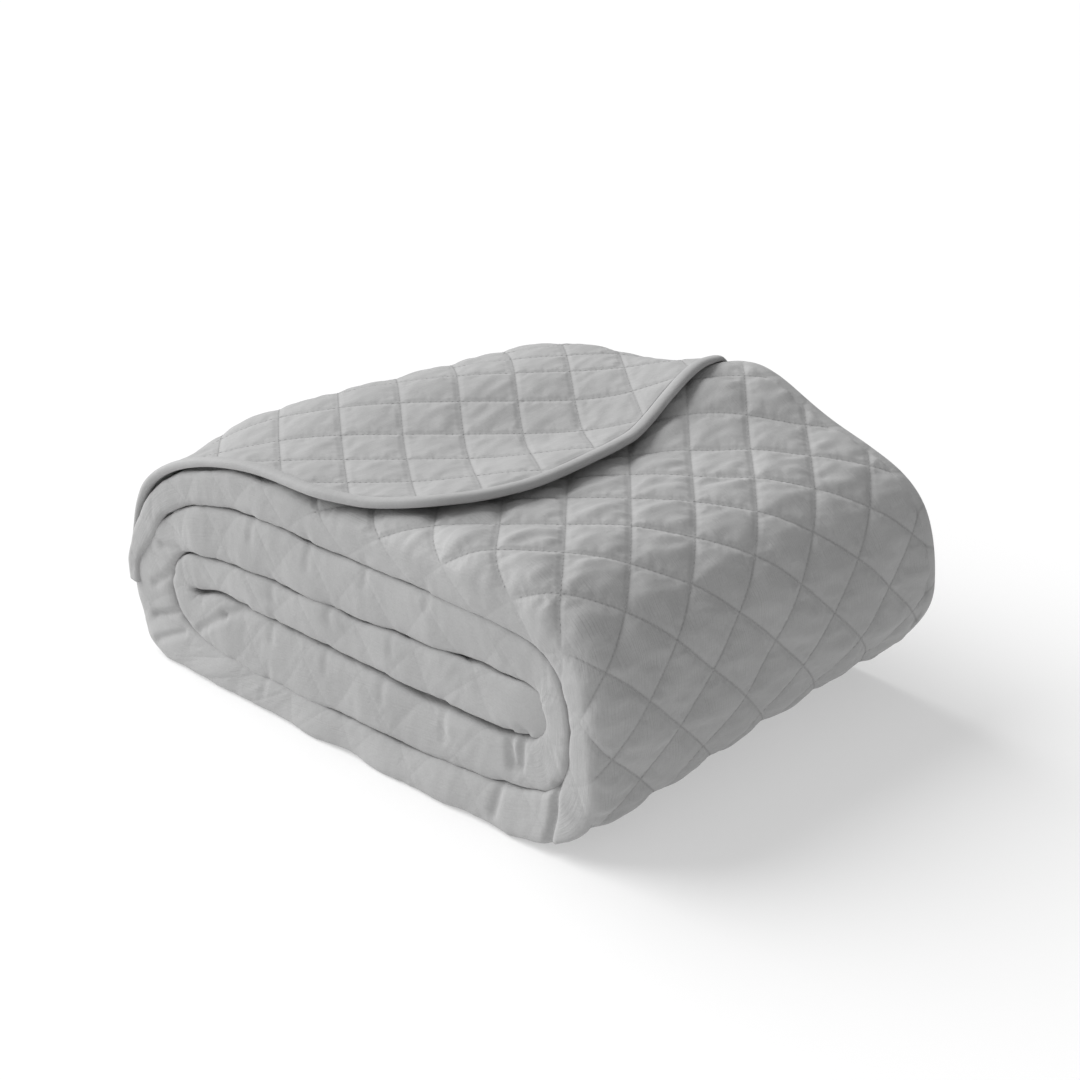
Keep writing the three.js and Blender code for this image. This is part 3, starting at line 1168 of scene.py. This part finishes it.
@dataclass
class StitchRun:
    """Rows of stitches along seam lines, made by one node tree.

    Attributes:
        name: Name of the piece.
        pitch: From one stitch to the next, mm.
        length: Length of a stitch, mm.
        thick: Thickness of the thread, mm.
    """

    name: str
    pitch: float = 4.2
    length: float = 2.6
    thick: float = 0.55

    def tree(self) -> bpy.types.NodeTree:
        """Makes the node tree that sets a stitch at each step of a line.

        Returns:
            The tree.
        """
        tree = bpy.data.node_groups.new(self.name + "_tree", "GeometryNodeTree")
        face = tree.interface
        face.new_socket("Geometry", in_out="INPUT", socket_type="NodeSocketGeometry")
        for label in ("Pitch", "Stitch Length", "Thread Thickness"):
            face.new_socket(label, in_out="INPUT", socket_type="NodeSocketFloat")
        face.new_socket("Thread", in_out="INPUT", socket_type="NodeSocketMaterial")
        face.new_socket("Geometry", in_out="OUTPUT", socket_type="NodeSocketGeometry")
        start = tree.nodes.new("NodeGroupInput")
        lines, pitch, length, thick, thread = (Sock(tree, start.outputs[k]) for k in range(5))
        curve = node(tree, "GeometryNodeMeshToCurve", {}, {"Mesh": lines})
        steps = {"Curve": curve, "Length": pitch}
        spots = node(tree, "GeometryNodeResampleCurve", {"mode": "LENGTH"}, steps)
        # One unit wide, so that the scale of each copy is its size
        bead = node(tree, "GeometryNodeMeshIcoSphere", {}, {"Radius": 0.5, "Subdivisions": 1})
        way = node(tree, "GeometryNodeInputTangent")
        turn = node(tree, "FunctionNodeAlignRotationToVector", {"axis": "X"}, {"Vector": way})
        size = node(tree, "ShaderNodeCombineXYZ", {}, {0: length, 1: thick, 2: thick})
        copies = {"Points": spots, "Instance": bead, "Rotation": turn, "Scale": size}
        placed = node(tree, "GeometryNodeInstanceOnPoints", {}, copies)
        real = node(tree, "GeometryNodeRealizeInstances", {}, {0: placed})
        smooth = node(tree, "GeometryNodeSetShadeSmooth", {}, {0: real})
        finish = {"Geometry": smooth, "Material": thread}
        dressed = node(tree, "GeometryNodeSetMaterial", {}, finish)
        end = tree.nodes.new("NodeGroupOutput")
        tree.links.new(dressed.socket, end.inputs[0])
        return tree

    def build(self, lines: list[Array], thread: bpy.types.Material) -> bpy.types.Object:
        """Sews along lines.

        Args:
            lines: Lines of points, mm.
            thread: Material of the thread.

        Returns:
            The stitches as one plain mesh.
        """
        ends = np.cumsum([len(line) for line in lines])
        starts = np.setdiff1d(np.arange(ends[-1]), ends - 1)
        edges = np.stack([starts, starts + 1], -1)
        mesh = bpy.data.meshes.new(self.name + "_lines")
        mesh.from_pydata((np.concatenate(lines) * MM).tolist(), edges.tolist(), [])
        helper = bpy.data.objects.new(self.name + "_lines", mesh)
        bpy.context.scene.collection.objects.link(helper)
        tree = self.tree()
        sewing = helper.modifiers.new("stitches", "NODES")
        sewing.node_group = tree
        wanted = {
            "Pitch": self.pitch * MM,
            "Stitch Length": self.length * MM,
            "Thread Thickness": self.thick * MM,
            "Thread": thread,
        }
        for item in tree.interface.items_tree:
            if item.in_out == "INPUT" and item.name in wanted:
                sewing[item.identifier] = wanted[item.name]
        bpy.context.view_layer.update()
        seen = helper.evaluated_get(bpy.context.evaluated_depsgraph_get())
        made = bpy.data.meshes.new_from_object(seen)
        made.name = self.name
        helper.modifiers.remove(sewing)
        bpy.data.objects.remove(helper)
        piece = bpy.data.objects.new(self.name, made)
        bpy.context.scene.collection.objects.link(piece)
        return piece


# ---------------------------------------------------------------- sub-assemblies


def open_parts(seen: Array, least: int) -> list[Array]:
    """Runs of a line's points that lie open.

    Args:
        seen: True for each point that does.
        least: A run counts where it has more points than this.

    Returns:
        Numbers of the points in each run.
    """
    parts = np.split(np.arange(len(seen)), np.flatnonzero(~seen))
    parts = [part[seen[part]] for part in parts]
    return [part for part in parts if len(part) > least]


@dataclass
class RolledStrip:
    """The quilted cloth in its plies, wound into a flat roll.

    Attributes:
        form: Shape of the roll.
        quilting: Relief of the cloth.
        detail: Mesh steps to a quarter of a diamond.
        samples: Points at which its length is measured.
        shown_from: Place where the outer turn comes out on the left.
        shown_to: Place on the top past which the flap hides the strip.
        strip_end: Place where the strip ends on the left shoulder.
        merged: Places over which it sinks into the turn under it there.
        front_reach: How far before the front folds the mesh rows begin, mm.
        back_steps: Mesh rows over each fold at the back.
        back_blunt: Power of those folds' outline.
        thread_stand: How far the thread stands off the seam, mm.
        full_relief: Thickness from which the relief has its full depth, mm.
        nose_calm: Share by which the relief is less on the end face.
        calm_from: Quarters of a full front fold after which it gets less.
        calm_over: Quarters over which it does.
        uneven: How uneven the turns lie, mm.
        waves: Field of that.
        uneven_to: Places over which the strip gets even on the top.
        swell: How far the outer turn swells on the right, mm.
        swell_from: Places over which it sets in.
        swell_to: Places over which it ends.
        start_reach: How far the strip's start reaches to the side, mm.
        reach_over: Places over which it does.
        start_sink: How far its start lies back from the end face, mm.
        sink_over: Places over which it does.
        crease_over: Quarters of the front fold over which the creases set in.
        shows: Quarters of the front fold over which its stitches show.
        full_shows: How many more they show over where the fold is full.
        floor_gap: Height over the floor from which stitches are sewn, mm.
        shortest: Points that a row of stitches has more of.
    """

    form: RollForm
    quilting: Quilting
    detail: int = 8
    samples: int = 12000
    shown_from: float = 28.3
    shown_to: float = 37.6
    strip_end: float = 40.5
    merged: Span = Span(39.0, 39.5)
    front_reach: float = 85.0
    back_steps: int = 11
    back_blunt: float = 0.8
    thread_stand: float = 0.1
    full_relief: float = 20.0
    nose_calm: float = 0.75
    calm_from: float = 0.6
    calm_over: float = 0.45
    uneven: float = 1.2
    waves: Ripples = Ripples(85, 11)
    uneven_to: Span = Span(37.0, 36.4)
    swell: float = 2.0
    swell_from: Span = Span(32.2, 33.2)
    swell_to: Span = Span(36.9, 36.4)
    start_reach: float = 21.0
    reach_over: float = 0.35
    start_sink: float = 7.0
    sink_over: float = 0.22
    crease_over: float = 0.2
    shows: float = 0.3
    full_shows: float = 0.5
    floor_gap: float = 1.0
    shortest: int = 2

    @property
    def pitch(self) -> int:
        """Mesh steps to a diamond."""
        return 4 * self.detail

    @property
    def step(self) -> float:
        """Mesh step, mm: a whole share of a diamond, so that edges follow seams."""
        return self.quilting.diagonal / self.pitch

    def columns(self) -> tuple[Array, Array]:
        """Places along the strip at even steps of the outer face's length.

        Returns:
            The places, and their numbers counted from a crossing of seams.
        """
        places = np.linspace(self.form.places, self.strip_end, self.samples)
        points = self.form.boundary(places)
        length = lengths_along(points)
        past = (places > self.form.top) & (points[:, 0] <= self.form.seam_x)
        length = length - length[np.flatnonzero(past)[0]]
        first, last = math.ceil(length[0] / self.step), math.floor(length[-1] / self.step)
        numbers = np.arange(first, last + 1)
        return np.interp(numbers * self.step, length, places), numbers

    def rows(self) -> Array:
        """Rows over the depth, and round the front fold.

        Returns:
            Their numbers, counted from a crossing of seams.
        """
        form = self.form
        first = math.floor((form.front - self.front_reach - form.seam_y) / self.step)
        last = math.floor((form.back - form.back_fold - form.seam_y) / self.step)
        return np.arange(first, last + 1)

    def relief(self, place: Array, s: Array, t: Array, calm: Array) -> Array:
        """Depth of the outer face below a smooth form.

        Args:
            place: Places along the strip, as (column, 1).
            s: Length along the strip, mm, as (column, 1).
            t: Depth across it, mm, as (1, row).
            calm: Share of the quilting's relief that is left.

        Returns:
            The depth as (column, row), mm.
        """
        uneven = self.uneven * self.waves.at(s, t) * self.uneven_to.at(place)
        swell = self.swell * (self.swell_from.at(place) * self.swell_to.at(place))
        return self.quilting.sunk(*self.quilting.lattice(s, t)) * calm + uneven - swell

    def skin(
        self, place: Array, number: Array, row: Array, stand: float
    ) -> tuple[Array, Array, Array]:
        """Outer face and front fold of the strip.

        Args:
            place: Places along the strip.
            number: Column numbers of the places.
            row: Row numbers.
            stand: How far the points stand off the cloth, mm.

        Returns:
            The points as (column, row, axis), how far round the front fold they are,
            counted so that stitches show up to the same value, and how clear the
            seams are there.
        """
        form, layer, place = self.form, self.form.layer(place), place[:, None]
        front = form.front_at(layer.inner[:, 0])[:, None]
        merge = form.merge * self.merged.at(place)
        inner, thick = layer.inner - layer.out * merge, layer.thick[:, None] + merge
        soft = form.softness(place)
        fold = form.fold + (form.soft_fold - form.fold) * soft
        along = form.seam_y + row[None] * self.step
        arc = np.clip((front + fold - along) / (form.nose_length * (fold + thick / 2)), 0, 2)
        outer, folded = arc < 1, arc > 0
        blunt = np.where(outer, form.blunt + (form.soft_blunt - form.blunt) * soft, form.blunt)
        tilt = form.nose_tilt(arc, blunt)
        shown = (place > self.shown_from) & (place < self.shown_to)
        back = form.back - form.back_fold
        hidden_y = np.where(along < 0, front + fold, back)
        y = np.where(shown, np.minimum(along, back), hidden_y)
        nose_y = front + np.where(outer, fold, form.fold) * (1 - np.sin(tilt) ** blunt)
        y = np.where(folded, nose_y, y)
        calm = 1 - self.nose_calm * ease((arc - self.calm_from * soft) / self.calm_over)
        sunk = self.relief(place, number[:, None] * self.step, row[None] * self.step, calm)
        sunk = sunk * np.minimum(1, thick / self.full_relief)
        sunk = np.where((arc < 2) & (shown | folded), sunk - stand, 0)
        height = thick * (1 + blunted(np.cos(tilt), blunt)) / 2 - sunk * np.cos(tilt)
        x = inner[:, :1] + layer.out[:, :1] * height
        z = inner[:, 1:] + layer.out[:, 1:] * height
        start = form.places
        x = x + self.start_reach * Span(start + self.reach_over, start).at(place)
        pinch = sum(crease.at(x, z) for crease in CREASES) * ease(arc / self.crease_over)
        pinch = pinch + self.start_sink * Span(start + self.sink_over, start).at(place)
        points = form.settle(x, y + sunk * np.sin(tilt) + pinch, z)
        return points, np.where(shown | folded, arc - self.full_shows * soft, 2), calm

    def back_rows(self, place: Array) -> Array:
        """Two stacked folds at the back, with a groove between them.

        Args:
            place: Places along the strip.

        Returns:
            The points as (column, row, axis).
        """
        form, layer = self.form, self.form.layer(place)
        turn = np.linspace(math.pi / 2, -math.pi / 2, self.back_steps)
        share = np.concatenate([middle + np.sin(turn) / 4 for middle in (0.75, 0.25)])
        reach = np.tile(np.power(np.maximum(np.cos(turn), 0), self.back_blunt), 2)
        height = layer.thick[:, None] * share[None]
        x = layer.inner[:, :1] + layer.out[:, :1] * height
        z = layer.inner[:, 1:] + layer.out[:, 1:] * height
        y = np.broadcast_to(form.back - form.back_fold * (1 - reach), height.shape)
        return form.settle(x, y, z)

    def build(self) -> bpy.types.Object:
        """Makes the strip.

        Returns:
            The piece.
        """
        place, number = self.columns()
        row = self.rows()
        face, _, calm = self.skin(place, number, row, 0.0)
        rings = np.concatenate([face, self.back_rows(place)], axis=1)
        across = np.arange(row[0], row[0] + rings.shape[1])
        a, b = self.quilting.lattice(number[:, None] * self.step, across[None] * self.step)
        points, faces = closed_tube(rings, odd=(number[0] - row[0]) % 2)
        clear = np.ones(rings.shape[:2])
        clear[:, : calm.shape[1]] = calm
        squares = np.stack([a, b, clear], -1).reshape(-1, 3)
        squares = np.concatenate([squares, squares[:1], squares[-1:]])
        return piece_from("rolled_quilt", points, faces, squares)

    def seam_lines(self) -> list[Array]:
        """Lines of the seams that show, on both slants.

        Returns:
            Lines of points, mm.
        """
        place, number = self.columns()
        row = self.rows()
        points, arc, _ = self.skin(place, number, row, self.thread_stand)
        open_face = (arc < self.shows) & (points[..., 2] > self.floor_gap)
        last = (np.abs(number).max() + np.abs(row).max()) // self.pitch + 1
        lines = []
        for sign in (1, -1):
            for total in range(-last, last + 1):
                wanted = (total * self.pitch - number) * sign
                column = np.flatnonzero((wanted >= row[0]) & (wanted <= row[-1]))
                across = wanted[column] - row[0]
                spots = points[column, across]
                runs = open_parts(open_face[column, across], self.shortest)
                lines.extend(spots[part] for part in runs)
        return lines


@dataclass
class TurnedFlap:
    """The last ply, which turns up at the strip's end and lies over the top.

    Attributes:
        form: Shape of the roll.
        quilting: Relief of the cloth.
        gap: Air below the flap, mm.
        ply: Thickness of the cloth, mm.
        crossing: Where two of its seams cross, along it and across it from the
            crossing of the strip's own seams, mm.
        side_back: Way along it and across it of a square's side that runs back, mm.
        side_front: The same of the side that runs to the front, mm.
        start: Place where it turns up.
        hold: How far before that place the strip's end is measured.
        end_before: Places that it ends before the last turn begins.
        top_over: Places from there over which the top runs.
        samples: Points at which its length is measured.
        inset: From the edge of the binding to the edge of the cloth, mm.
        back_inset: How far its back edge lies in from the back folds, mm.
        bulge: How far the turn-up stands out from the strip's end, mm.
        relief_share: Depth of its seams against those of the strip.
        rim_drop: How far its upper face drops at the sewn edge, mm.
        rim_rise: How far its lower face rises there, mm.
        rim_steps: Mesh points over which they do.
        back_rim_steps: The same at its back edge.
        thread_stand: How far the thread stands off the seam, mm.
        seam_gap: How far from the sewn edge the stitches end, mm.
        seam_reach: Squares to each side of the crossing that are sewn.
        seam_points: Points of a seam to a square.
        shortest: Points that a row of stitches has more of.
        back_thin: Share by which it is pressed thinner at the back.
        back_at: Depths over which it is.
        left_thin: Share by which it is pressed thinner at its left end.
        left_at: Lengths over which it is.
        shoulder: How far its front edge lies back at that end, mm.
        shoulder_at: Lengths over which it does.
        joined: Length over which the front edge runs into the corner, mm.
        corner_slant: Slant by which the tip of the corner is found.
        front_points: Points of the front edge's line.
        corner_points: Points of the line round the corner.
        columns: Mesh points along it.
        rows: Mesh points across it.
        edge_rows: Outer line from the front round the corner, as (name, x, y).
    """

    form: RollForm
    quilting: Quilting
    gap: float = 1.8
    ply: float = 7.0
    crossing: tuple[float, float] = (-280.0, -121.7)
    side_back: tuple[float, float] = (31.8, 33.7)
    side_front: tuple[float, float] = (39.0, -26.6)
    start: float = 40.5
    hold: float = 0.02
    end_before: float = 0.5
    top_over: float = 3.0
    samples: int = 6000
    inset: float = 9.6
    back_inset: float = 4.0
    bulge: float = 6.0
    relief_share: float = 0.55
    rim_drop: float = 1.6
    rim_rise: float = 1.2
    rim_steps: float = 4.0
    back_rim_steps: float = 3.0
    thread_stand: float = 0.1
    seam_gap: float = 1.0
    seam_reach: int = 20
    seam_points: int = 15
    shortest: int = 3
    back_thin: float = 0.3
    back_at: Span = Span(120, 190)
    left_thin: float = 0.45
    left_at: Span = Span(100, 0)
    shoulder: float = 8.0
    shoulder_at: Span = Span(110, 20)
    joined: float = 60.0
    corner_slant: float = 0.8
    front_points: int = 120
    corner_points: int = 160
    columns: int = 240
    rows: int = 204
    edge_rows: tuple[tuple[str, float, float], ...] = (
        ("front", -70, -182),
        ("corner starts", 0, -176),
        ("corner", 72, -142),
        ("corner ends", 99, -84),
        ("free edge", 93, 0),
        ("free edge, back", 70, 100),
        ("back", 46, 196),
    )

    def __post_init__(self) -> None:
        """Measures the way along the flap, from the strip's end to the right."""
        self._places = np.linspace(self.start, self.form.top - self.end_before, self.samples)
        points = self.form.boundary(self._places)
        self._lengths, self._xs = lengths_along(points), points[:, 0]
        self._root = self.form.layer(np.array([self.start - self.hold]))
        thin = (self.gap + self.ply) * (1 - self.left_thin)
        self.across = float(self._root.thick[0]) + thin
        self.wrap = math.pi * math.sqrt(((self.across / 2) ** 2 + self.bulge**2) / 2)

    def length_at(self, x: Array) -> Array:
        """Length along the flap where the top passes an x."""
        top = self._places < self.form.top + self.top_over
        return np.interp(-np.asarray(x), -self._xs[top][::-1], self._lengths[top][::-1])

    def edge_line(self, inset: float) -> Array:
        """The flap's outer line as (length along it, depth).

        Args:
            inset: How far the line lies in from the outer edge, mm.

        Returns:
            The points, from the turn-up's start along the front to the back.
        """
        rows = np.array([row[1:] for row in self.edge_rows], float)
        line = SmoothLine(rows).spaced(self.corner_points)
        ahead = np.gradient(line, axis=0)
        side = unit(np.stack([-ahead[:, 1], ahead[:, 0]], -1))
        line = line + side * inset
        corner = np.stack([self.length_at(line[:, 0]), line[:, 1]], -1)
        length = np.linspace(-self.wrap, corner[0, 0], self.front_points)[:-1]
        x = np.interp(np.maximum(length, 0), self._lengths, self._xs)
        y = self.form.front_at(x) + inset + self.shoulder * self.shoulder_at.at(length)
        near = Span(length[-1] - self.joined, length[-1]).at(length)
        y = y + (corner[0, 1] - y[-1]) * near
        return np.concatenate([np.stack([length, y], -1), corner])

    def thinned(self, length: Array, y: Array) -> Array:
        """Share of its thickness that the cloth keeps, less at the back and the left end."""
        back = 1 - self.back_thin * self.back_at.at(y)
        return back * (1 - self.left_thin * self.left_at.at(length))

    def surface(self, length: Array, y: Array, height: Array) -> Array:
        """Points on or in the flap.

        Args:
            length: Length along the flap from the strip's end, less than 0 in the turn-up.
            y: Depth, mm.
            height: From 0 at its lower face to ply at its upper one, mm.

        Returns:
            The points, along one more axis.
        """
        length, y, height = np.broadcast_arrays(length, y, height)
        thin = self.thinned(length, y)
        place = np.interp(np.maximum(length, 0), self._lengths, self._places)
        over = self.form.over_top(place, y, (self.gap + height) * thin)
        if not (length < 0).any():
            return over
        inner, out = self._root.inner[0], self._root.out[0]
        ahead = np.array([-out[1], out[0]])
        turn = math.pi / 2 * (1 + 2 * length / self.wrap)
        depth = (self.ply - height) * thin
        rise = self.across / 2 * (1 + np.sin(turn)) - depth * np.sin(turn)
        reach = (self.bulge - depth) * np.cos(turn)
        x, z = (inner[k] + out[k] * rise + ahead[k] * reach for k in range(2))
        return np.where((length < 0)[..., None], self.form.settle(x, y, z), over)

    def squares(self, length: Array, y: Array) -> tuple[Array, Array]:
        """Squares of the flap's own quilting, counted along both slants.

        Args:
            length: Length along the flap, mm.
            y: Depth, mm.

        Returns:
            The two counts.
        """
        along = length - self.length_at(self.form.seam_x) - self.crossing[0]
        across = y - self.form.seam_y - self.crossing[1]
        one, two = np.linalg.inv(np.array([self.side_back, self.side_front]).T)
        return one[0] * along + one[1] * across, two[0] * along + two[1] * across

    def grid(self) -> tuple[Array, Array]:
        """Mesh points over the flap, fitted to its outline.

        Returns:
            Length along the flap and depth, each as (column, row).
        """
        line = self.edge_line(self.inset)
        corner = int(np.argmax(line[:, 0] * self.corner_slant - line[:, 1]))
        front = resampled(line[: corner + 1], self.columns)
        free = resampled(line[corner:], self.rows)[::-1]
        free[0, 1] = self.form.back - self.back_inset
        end = np.array([front[0, 0], free[0, 1]])
        back = np.linspace(end, free[0], self.columns)
        left = np.linspace(end, front[0], self.rows)
        u = np.linspace(0, 1, self.columns)[:, None, None]
        v = np.linspace(0, 1, self.rows)[None, :, None]
        net = (1 - v) * back[:, None] + v * front[:, None] + (1 - u) * left[None] + u * free[None]
        near, far = ((1 - v) * back[k] + v * front[k] for k in (0, -1))
        net = net - ((1 - u) * near + u * far)
        return net[..., 0], net[..., 1]

    def rim_share(self) -> Array:
        """How full the cloth is beside its sewn edges.

        Returns:
            0 at those edges and 1 a little way in, as (column, row).
        """
        u = np.linspace(0, 1, self.columns)[:, None]
        v = np.linspace(0, 1, self.rows)[None]
        sewn = ease((1 - v) * self.rows / self.rim_steps)
        sewn = sewn * ease((1 - u) * self.columns / self.rim_steps)
        return sewn * ease(v * self.rows / self.back_rim_steps)

    def build(self) -> bpy.types.Object:
        """Makes the flap, with its upper face quilted and its rim rounded.

        Returns:
            The piece.
        """
        length, y = self.grid()
        a, b = self.squares(length, y)
        rim = self.rim_share()
        sunk = self.quilting.sunk(a, b) * self.relief_share
        upper = self.surface(length, y, self.ply - sunk * rim - self.rim_drop * (1 - rim))
        under = self.surface(length, y, self.rim_rise * (1 - rim))
        points, faces = closed_sheet(upper, under)
        squares = np.stack([a, b, np.ones_like(a)], -1).reshape(-1, 3)
        return piece_from("turned_flap", points, faces, np.concatenate([squares, squares]))

    def seam_lines(self) -> list[Array]:
        """Lines of the flap's seams, inside its outline.

        Returns:
            Lines of points, mm.
        """
        edge = self.edge_line(self.inset + self.seam_gap)
        back_y = self.form.back - self.back_inset - self.seam_gap
        outline = np.concatenate([edge, [[edge[-1, 0], back_y], [edge[0, 0], back_y]]])
        start = np.array([self.length_at(self.form.seam_x), self.form.seam_y]) + self.crossing
        sides = np.array([self.side_back, self.side_front])
        run = np.arange(-self.seam_reach, self.seam_reach, 1 / self.seam_points)[:, None]
        lines = []
        for n in range(-self.seam_reach, self.seam_reach + 1):
            for fixed, free in (sides, sides[::-1]):
                length, y = (start + n * fixed + run * free).T
                for part in open_parts(inside(length, y, outline), self.shortest):
                    a, b = self.squares(length[part], y[part])
                    height = self.ply - self.quilting.sunk(a, b) * self.relief_share
                    height = height + self.thread_stand
                    lines.append(self.surface(length[part], y[part], height))
        return lines


def inside(x: Array, y: Array, outline: Array) -> Array:
    """Which points lie inside a closed outline.

    Args:
        x: First values of the points.
        y: Second values of the points.
        outline: The outline's corners, one a row.

    Returns:
        True for each point that does.
    """
    x1, y1 = outline[:, 0][None], outline[:, 1][None]
    x2, y2 = np.roll(x1, -1), np.roll(y1, -1)
    px, py = x[:, None], y[:, None]
    rise = np.where(y2 == y1, TINY, y2 - y1)
    crosses = ((y1 > py) != (y2 > py)) & (px < (x2 - x1) * (py - y1) / rise + x1)
    return crosses.sum(1) % 2 == 1


@dataclass
class EdgeBinding:
    """Narrow strip of plain cloth sewn over the flap's raw edge.

    Attributes:
        flap: The flap that it is sewn to.
        width: Its width, mm.
        thick: Its thickness, mm.
        blunt: Power of its outline, less where it is squarer.
        wave: How far it strays from a smooth line, mm.
        waves: Field of that.
        stations: Rings along it.
        sides: Points of a ring.
    """

    flap: TurnedFlap
    width: float = 10.0
    thick: float = 7.4
    blunt: float = 0.8
    wave: float = 0.5
    waves: Ripples = Ripples(45, 9)
    stations: int = 420
    sides: int = 16

    def path(self, inset: float) -> tuple[Array, Array]:
        """Line along the flap's edge, as length along the flap and depth."""
        length, y = resampled(self.flap.edge_line(inset), self.stations).T
        return length, y + self.wave * self.waves.at(length, y)

    def build(self) -> bpy.types.Object:
        """Makes the binding.

        Returns:
            The piece.
        """
        length, y = self.path(self.width / 2)
        middle = self.flap.ply / 2
        centre, above = (self.flap.surface(length, y, middle + h) for h in (0, 1))
        along = unit(np.gradient(centre, axis=0))
        up = unit(above - centre)
        side = unit(np.cross(along, up))
        turn = -np.linspace(0, 2 * math.pi, self.sides, endpoint=False)
        wide = blunted(np.cos(turn), self.blunt) * self.width / 2
        tall = blunted(np.sin(turn), self.blunt) * self.thick / 2
        tall = tall[None] * self.flap.thinned(length, y)[:, None]
        rings = centre[:, None] + side[:, None] * wide[None, :, None]
        points, faces = closed_tube(rings + up[:, None] * tall[..., None])
        return piece_from("edge_binding_cloth", points, faces)


# ------------------------------------------------------------------- the studio


@dataclass(frozen=True)
class Studio:
    """Pale floor, soft lights and the camera.

    Attributes:
        eye: Where the camera is, m.
        way: Which way it looks.
        lens: Its focal length, mm.
        sensor: Width of its picture, mm.
        key: Strength of the soft light.
        key_from: Where the soft light comes from.
        softness: How wide it is, degrees.
        sky: Brightness of the room, level with its middle.
        sky_swing: How much brighter and darker the room is on two sides.
        sky_from: The brighter side.
        floor_size: Side of the floor, m.
        floor_level: Brightness of the floor.
        floor_rough: Its roughness.
        glow: Light that it gives off itself.
    """

    eye: tuple[float, float, float] = (1.0091, -0.9199, 0.7155)
    way: tuple[float, float, float] = (-0.667, 0.625, -0.405)
    lens: float = 64.0
    sensor: float = 36.0
    key: float = 3.65
    key_from: tuple[float, float, float] = (-0.75, -0.25, 0.60)
    softness: float = 60.0
    sky: float = 0.42
    sky_swing: float = 0.3
    sky_from: tuple[float, float, float] = (0.15, -0.98, 0.1)
    floor_size: float = 14.0
    floor_level: float = 0.55
    floor_rough: float = 0.9
    glow: float = 0.38

    def floor(self) -> None:
        """Makes the floor."""
        bpy.ops.mesh.primitive_plane_add(size=self.floor_size, location=(0, 0, 0))
        floor = bpy.context.object
        floor.name = "floor"
        material = bpy.data.materials.new("pale_floor")
        material.use_nodes = True
        skin = material.node_tree.nodes["Principled BSDF"]
        skin.inputs["Base Color"].default_value = shade(self.floor_level)
        skin.inputs["Roughness"].default_value = self.floor_rough
        skin.inputs["Emission Color"].default_value = shade(1.0)
        skin.inputs["Emission Strength"].default_value = self.glow
        floor.data.materials.append(material)

    def sun(self) -> None:
        """Adds one large soft light, far off in front on the left."""
        data = bpy.data.lights.new("soft_key", "SUN")
        data.energy, data.angle = self.key, math.radians(self.softness)
        light = bpy.data.objects.new("soft_key", data)
        light.rotation_euler = (-Vector(self.key_from)).to_track_quat("-Z", "Y").to_euler()
        bpy.context.scene.collection.objects.link(light)

    def room(self) -> None:
        """Lights the room evenly, a little brighter on one side."""
        world = bpy.data.worlds.new("studio")
        world.use_nodes = True
        tree = world.node_tree
        back = tree.nodes["Background"]
        back.inputs["Color"].default_value = shade(1.0)
        way = node(tree, "ShaderNodeTexCoord", out="Generated")
        sides = {0: way, 1: self.sky_from}
        front = node(tree, "ShaderNodeVectorMath", {"operation": "DOT_PRODUCT"}, sides, "Value")
        strength = front * self.sky_swing + self.sky
        tree.links.new(strength.socket, back.inputs["Strength"])
        bpy.context.scene.world = world

    def camera(self) -> None:
        """Adds the camera."""
        data = bpy.data.cameras.new("camera")
        data.lens, data.sensor_width = self.lens, self.sensor
        camera = bpy.data.objects.new("camera", data)
        camera.location = self.eye
        camera.rotation_euler = Vector(self.way).to_track_quat("-Z", "Y").to_euler()
        bpy.context.scene.collection.objects.link(camera)
        bpy.context.scene.camera = camera

    def build(self) -> None:
        """Sets up the floor, the light, the room and the camera."""
        self.floor()
        self.sun()
        self.room()
        bpy.context.scene.view_settings.view_transform = "Standard"
        self.camera()


def dress(
    piece: bpy.types.Object, material: bpy.types.Material | None, slot: str, *nodes: str
) -> None:
    """Puts a finish on a piece, hangs it under the root and hides the parts that it stands for.

    Args:
        piece: The piece.
        material: Its finish, or None where it has one.
        slot: The record's material slot; not used.
        nodes: Nodes that it stands for.
    """
    if material is not None:
        piece.data.materials.clear()
        piece.data.materials.append(material)
    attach(piece, "root")
    if nodes:
        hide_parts(*nodes)
    LOG.info("%s: %d faces", piece.name, len(piece.data.polygons))


def main() -> None:
    """Builds the bedspread and its studio."""
    logging.basicConfig(level=logging.INFO, format="%(message)s")
    patch = StitchedPatch()
    form, quilting = RollForm(), Quilting(patch.relief(), patch.cells)
    cloth = ClothFinish().build()
    binding_cloth = ClothFinish("binding_cloth_finish", level=0.37, quilted=False).build()
    thread = ThreadFinish().build()
    strip = RolledStrip(form, quilting)
    roll = strip.build()
    dress(roll, cloth, "quilted_cloth", "quilt")
    flap = TurnedFlap(form, quilting)
    top = flap.build()
    dress(top, cloth, "quilted_cloth", "quilt")
    binding = EdgeBinding(flap).build()
    dress(binding, binding_cloth, "binding_cloth", "edge_binding")
    roll_stitches = StitchRun("roll_stitches").build(strip.seam_lines(), thread)
    dress(roll_stitches, None, "quilted_cloth")
    flap_stitches = StitchRun("flap_stitches").build(flap.seam_lines(), thread)
    dress(flap_stitches, None, "quilted_cloth")
    Studio().build()


if __name__ == "__main__":
    main()
